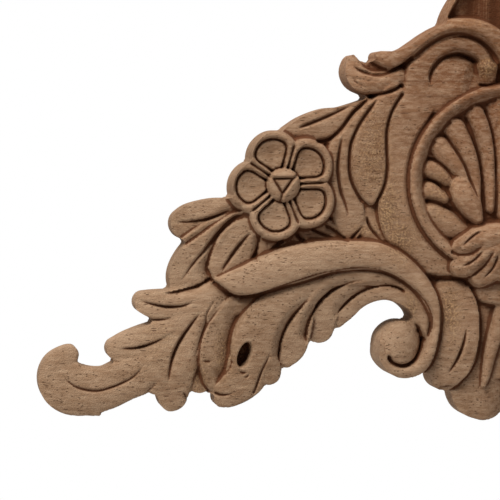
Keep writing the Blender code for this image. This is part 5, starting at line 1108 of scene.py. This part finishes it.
class OnlaySettings(bpy.types.PropertyGroup):
    """Sizes and colours of the carving and its wood."""

    grid: bpy.props.FloatProperty(
        name="Grid", description="Spacing of the relief's grid in mm", default=GRID, min=0.2, max=2.0)
    triangles: bpy.props.IntProperty(
        name="Triangles", description="Triangles kept", default=TRIANGLES, min=5000, max=198000)
    wood_light: bpy.props.StringProperty(
        name="Light wood", description="sRGB hex of the palest wood", default="#A7896E")
    wood_dark: bpy.props.StringProperty(
        name="Dark wood", description="sRGB hex of the darkest wood", default="#896B51")
    # a tint that makes the colour redder and darker towards the crest
    crest_tint: bpy.props.StringProperty(
        name="Heart tint", description="sRGB hex that multiplies the wood near the crest", default="#DABBA4")
    streak: bpy.props.StringProperty(
        name="Streaks", description="sRGB hex that multiplies the streaks", default="#9C7A5C")
    pale: bpy.props.StringProperty(
        name="Pale spots", description="sRGB hex of the palest fibres", default="#C4A88C")
    pore: bpy.props.StringProperty(
        name="Pores", description="sRGB hex of the open pores", default="#4A2E1A")
    # painted shade: this tint darkens the wide hollows where shade falls
    hollow: bpy.props.StringProperty(
        name="Hollow tint", description="sRGB hex that multiplies wide hollows", default="#A9784C")
    # the cut valleys' colour is the cutter's browning and painted shade together; the glue lines use it too
    groove: bpy.props.StringProperty(
        name="Grooves", description="sRGB hex of the cut valleys", default="#522A10")
    torn_dark: bpy.props.StringProperty(
        name="Torn, dark", description="sRGB hex of the gaps in torn end grain", default="#5A3B22")
    torn_light: bpy.props.StringProperty(
        name="Torn, pale", description="sRGB hex of the tufts in torn end grain", default="#AD8A60")


class StudioSettings(bpy.types.PropertyGroup):
    """Camera, floor and light."""

    distance: bpy.props.FloatProperty(
        name="Distance", description="Camera to aim point", default=0.690, min=0.1, max=5.0, unit="LENGTH")
    azimuth: bpy.props.FloatProperty(
        name="Azimuth", description="Camera turned to the object's left", default=math.radians(-9.0),
        subtype="ANGLE")
    elevation: bpy.props.FloatProperty(
        name="Elevation", description="Camera above the horizon", default=math.radians(3.0), subtype="ANGLE")
    aim: bpy.props.FloatVectorProperty(
        name="Aim", description="Point in the middle of the picture", size=3,
        default=(-0.0843, -0.0120, -0.0203), subtype="TRANSLATION")
    lens: bpy.props.FloatProperty(name="Lens", description="Focal length in millimetres", default=159.26)
    floor: bpy.props.FloatProperty(
        name="Floor", description="Height of the floor", default=-0.60, unit="LENGTH")
    floor_half: bpy.props.FloatProperty(
        name="Floor size", description="Half the floor's side", default=1.2, unit="LENGTH")
    sky: bpy.props.FloatProperty(
        name="Sky", description="Strength of the even light from all round", default=0.35)
    key: bpy.props.FloatProperty(
        name="Key light", description="Power of the upper left light in watts", default=18.0)
    top: bpy.props.FloatProperty(
        name="Top light", description="Power of the light from above in watts", default=5.0)


class ONLAY_OT_carving(bpy.types.Operator):
    """Build the carved surface and give it raw wood"""

    bl_idname = "onlay.carving"
    bl_label = "Carving"

    def execute(self, context):
        settings = context.scene.onlay
        r = carve(settings.grid)
        mesh = thinned(solid("carving", r), "carving", settings.triangles)
        mark(mesh, r)
        mesh.materials.clear()
        mesh.materials.append(rubberwood(settings))
        mesh.shade_smooth()
        mesh.set_sharp_from_angle(angle=math.radians(50.0))
        ob = bpy.data.objects.new("carving", mesh)
        context.scene.collection.objects.link(ob)
        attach(ob, "root")
        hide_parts(NODE)
        print("carving", len(mesh.polygons), "triangles")
        return {"FINISHED"}


# place, size and colour of the lights
KEY = ((-0.66, -0.72, 0.92), (0.5, 0.5), (1.0, 0.96, 0.90))
TOP = ((-0.05, -0.20, 0.9), (0.7, 0.4), (1.0, 0.98, 0.96))


def area_light(scene, name, lamp, aim, power):
    """Soft rectangular light turned to the aim, power in watts."""
    at, size, colour = lamp
    data = bpy.data.lights.new(name, "AREA")
    data.shape = "RECTANGLE"
    data.size = size[0]
    data.size_y = size[1]
    data.energy = power
    data.color = colour
    ob = bpy.data.objects.new(name, data)
    ob.location = at
    ob.rotation_euler = (Vector(aim) - Vector(at)).to_track_quat("-Z", "Y").to_euler()
    scene.collection.objects.link(ob)


class ONLAY_OT_studio(bpy.types.Operator):
    """Set the floor, the soft light and the camera"""

    bl_idname = "onlay.studio"
    bl_label = "Studio"

    def execute(self, context):
        scene = context.scene
        s = scene.onlay_studio
        scene.view_settings.view_transform = "Standard"
        world = bpy.data.worlds.new("studio")
        world.use_nodes = True
        # the sky is clear white behind the part and gives only part of that as light
        tree = world.node_tree
        seen = add(tree, "ShaderNodeLightPath", out="Is Camera Ray")
        power = add(tree, "ShaderNodeMapRange", [(0, seen), (3, s.sky), (4, 1.0)])
        tree.links.new(power, tree.nodes["Background"].inputs["Strength"])
        tree.nodes["Background"].inputs["Color"].default_value = (1.0, 1.0, 1.0, 1.0)
        scene.world = world

        half = s.floor_half
        corners = [(x * half, y * half, s.floor) for x, y in ((-1, -1), (1, -1), (1, 1), (-1, 1))]
        mesh = bpy.data.meshes.new("floor")
        mesh.from_pydata(corners, [], [(0, 1, 2, 3)])
        paint = bpy.data.materials.new("white_paper")
        paint.use_nodes = True
        sheet = paint.node_tree.nodes["Principled BSDF"]
        sheet.inputs["Base Color"].default_value = linear("#FAFAFA")
        sheet.inputs["Roughness"].default_value = 0.9
        mesh.materials.append(paint)
        floor = bpy.data.objects.new("floor", mesh)
        scene.collection.objects.link(floor)

        area_light(scene, "key", KEY, s.aim, s.key)
        area_light(scene, "top", TOP, s.aim, s.top)

        back_way = Vector((math.sin(s.azimuth) * math.cos(s.elevation),
                           -math.cos(s.azimuth) * math.cos(s.elevation), math.sin(s.elevation)))
        right = Vector((math.cos(s.azimuth), math.sin(s.azimuth), 0.0))
        up = back_way.cross(right)
        data = bpy.data.cameras.new("camera")
        data.lens = s.lens
        data.sensor_width = 36.0
        data.clip_start = 0.01
        cam = bpy.data.objects.new("camera", data)
        at = Vector(s.aim) + back_way * s.distance
        cam.matrix_world = Matrix.Translation(at) @ Matrix((right, up, back_way)).transposed().to_4x4()
        scene.collection.objects.link(cam)
        scene.camera = cam
        return {"FINISHED"}


class ONLAY_PT_panel(bpy.types.Panel):
    """Buttons for the onlay's pieces"""

    bl_label = "Corner onlay"
    bl_idname = "ONLAY_PT_panel"
    bl_space_type = "VIEW_3D"
    bl_region_type = "UI"
    bl_category = "Onlay"

    def draw(self, context):
        column = self.layout.column()
        for name in OnlaySettings.__annotations__:
            column.prop(context.scene.onlay, name)
        column.operator("onlay.carving")
        for name in StudioSettings.__annotations__:
            column.prop(context.scene.onlay_studio, name)
        column.operator("onlay.studio")


CLASSES = (OnlaySettings, StudioSettings, ONLAY_OT_carving, ONLAY_OT_studio, ONLAY_PT_panel)


def register():
    for cls in CLASSES:
        bpy.utils.register_class(cls)
    bpy.types.Scene.onlay = bpy.props.PointerProperty(type=OnlaySettings)
    bpy.types.Scene.onlay_studio = bpy.props.PointerProperty(type=StudioSettings)


def unregister():
    del bpy.types.Scene.onlay_studio
    del bpy.types.Scene.onlay
    for cls in reversed(CLASSES):
        bpy.utils.unregister_class(cls)


def main():
    register()
    bpy.ops.onlay.carving()
    bpy.ops.onlay.studio()


if __name__ == "__main__":
    main()
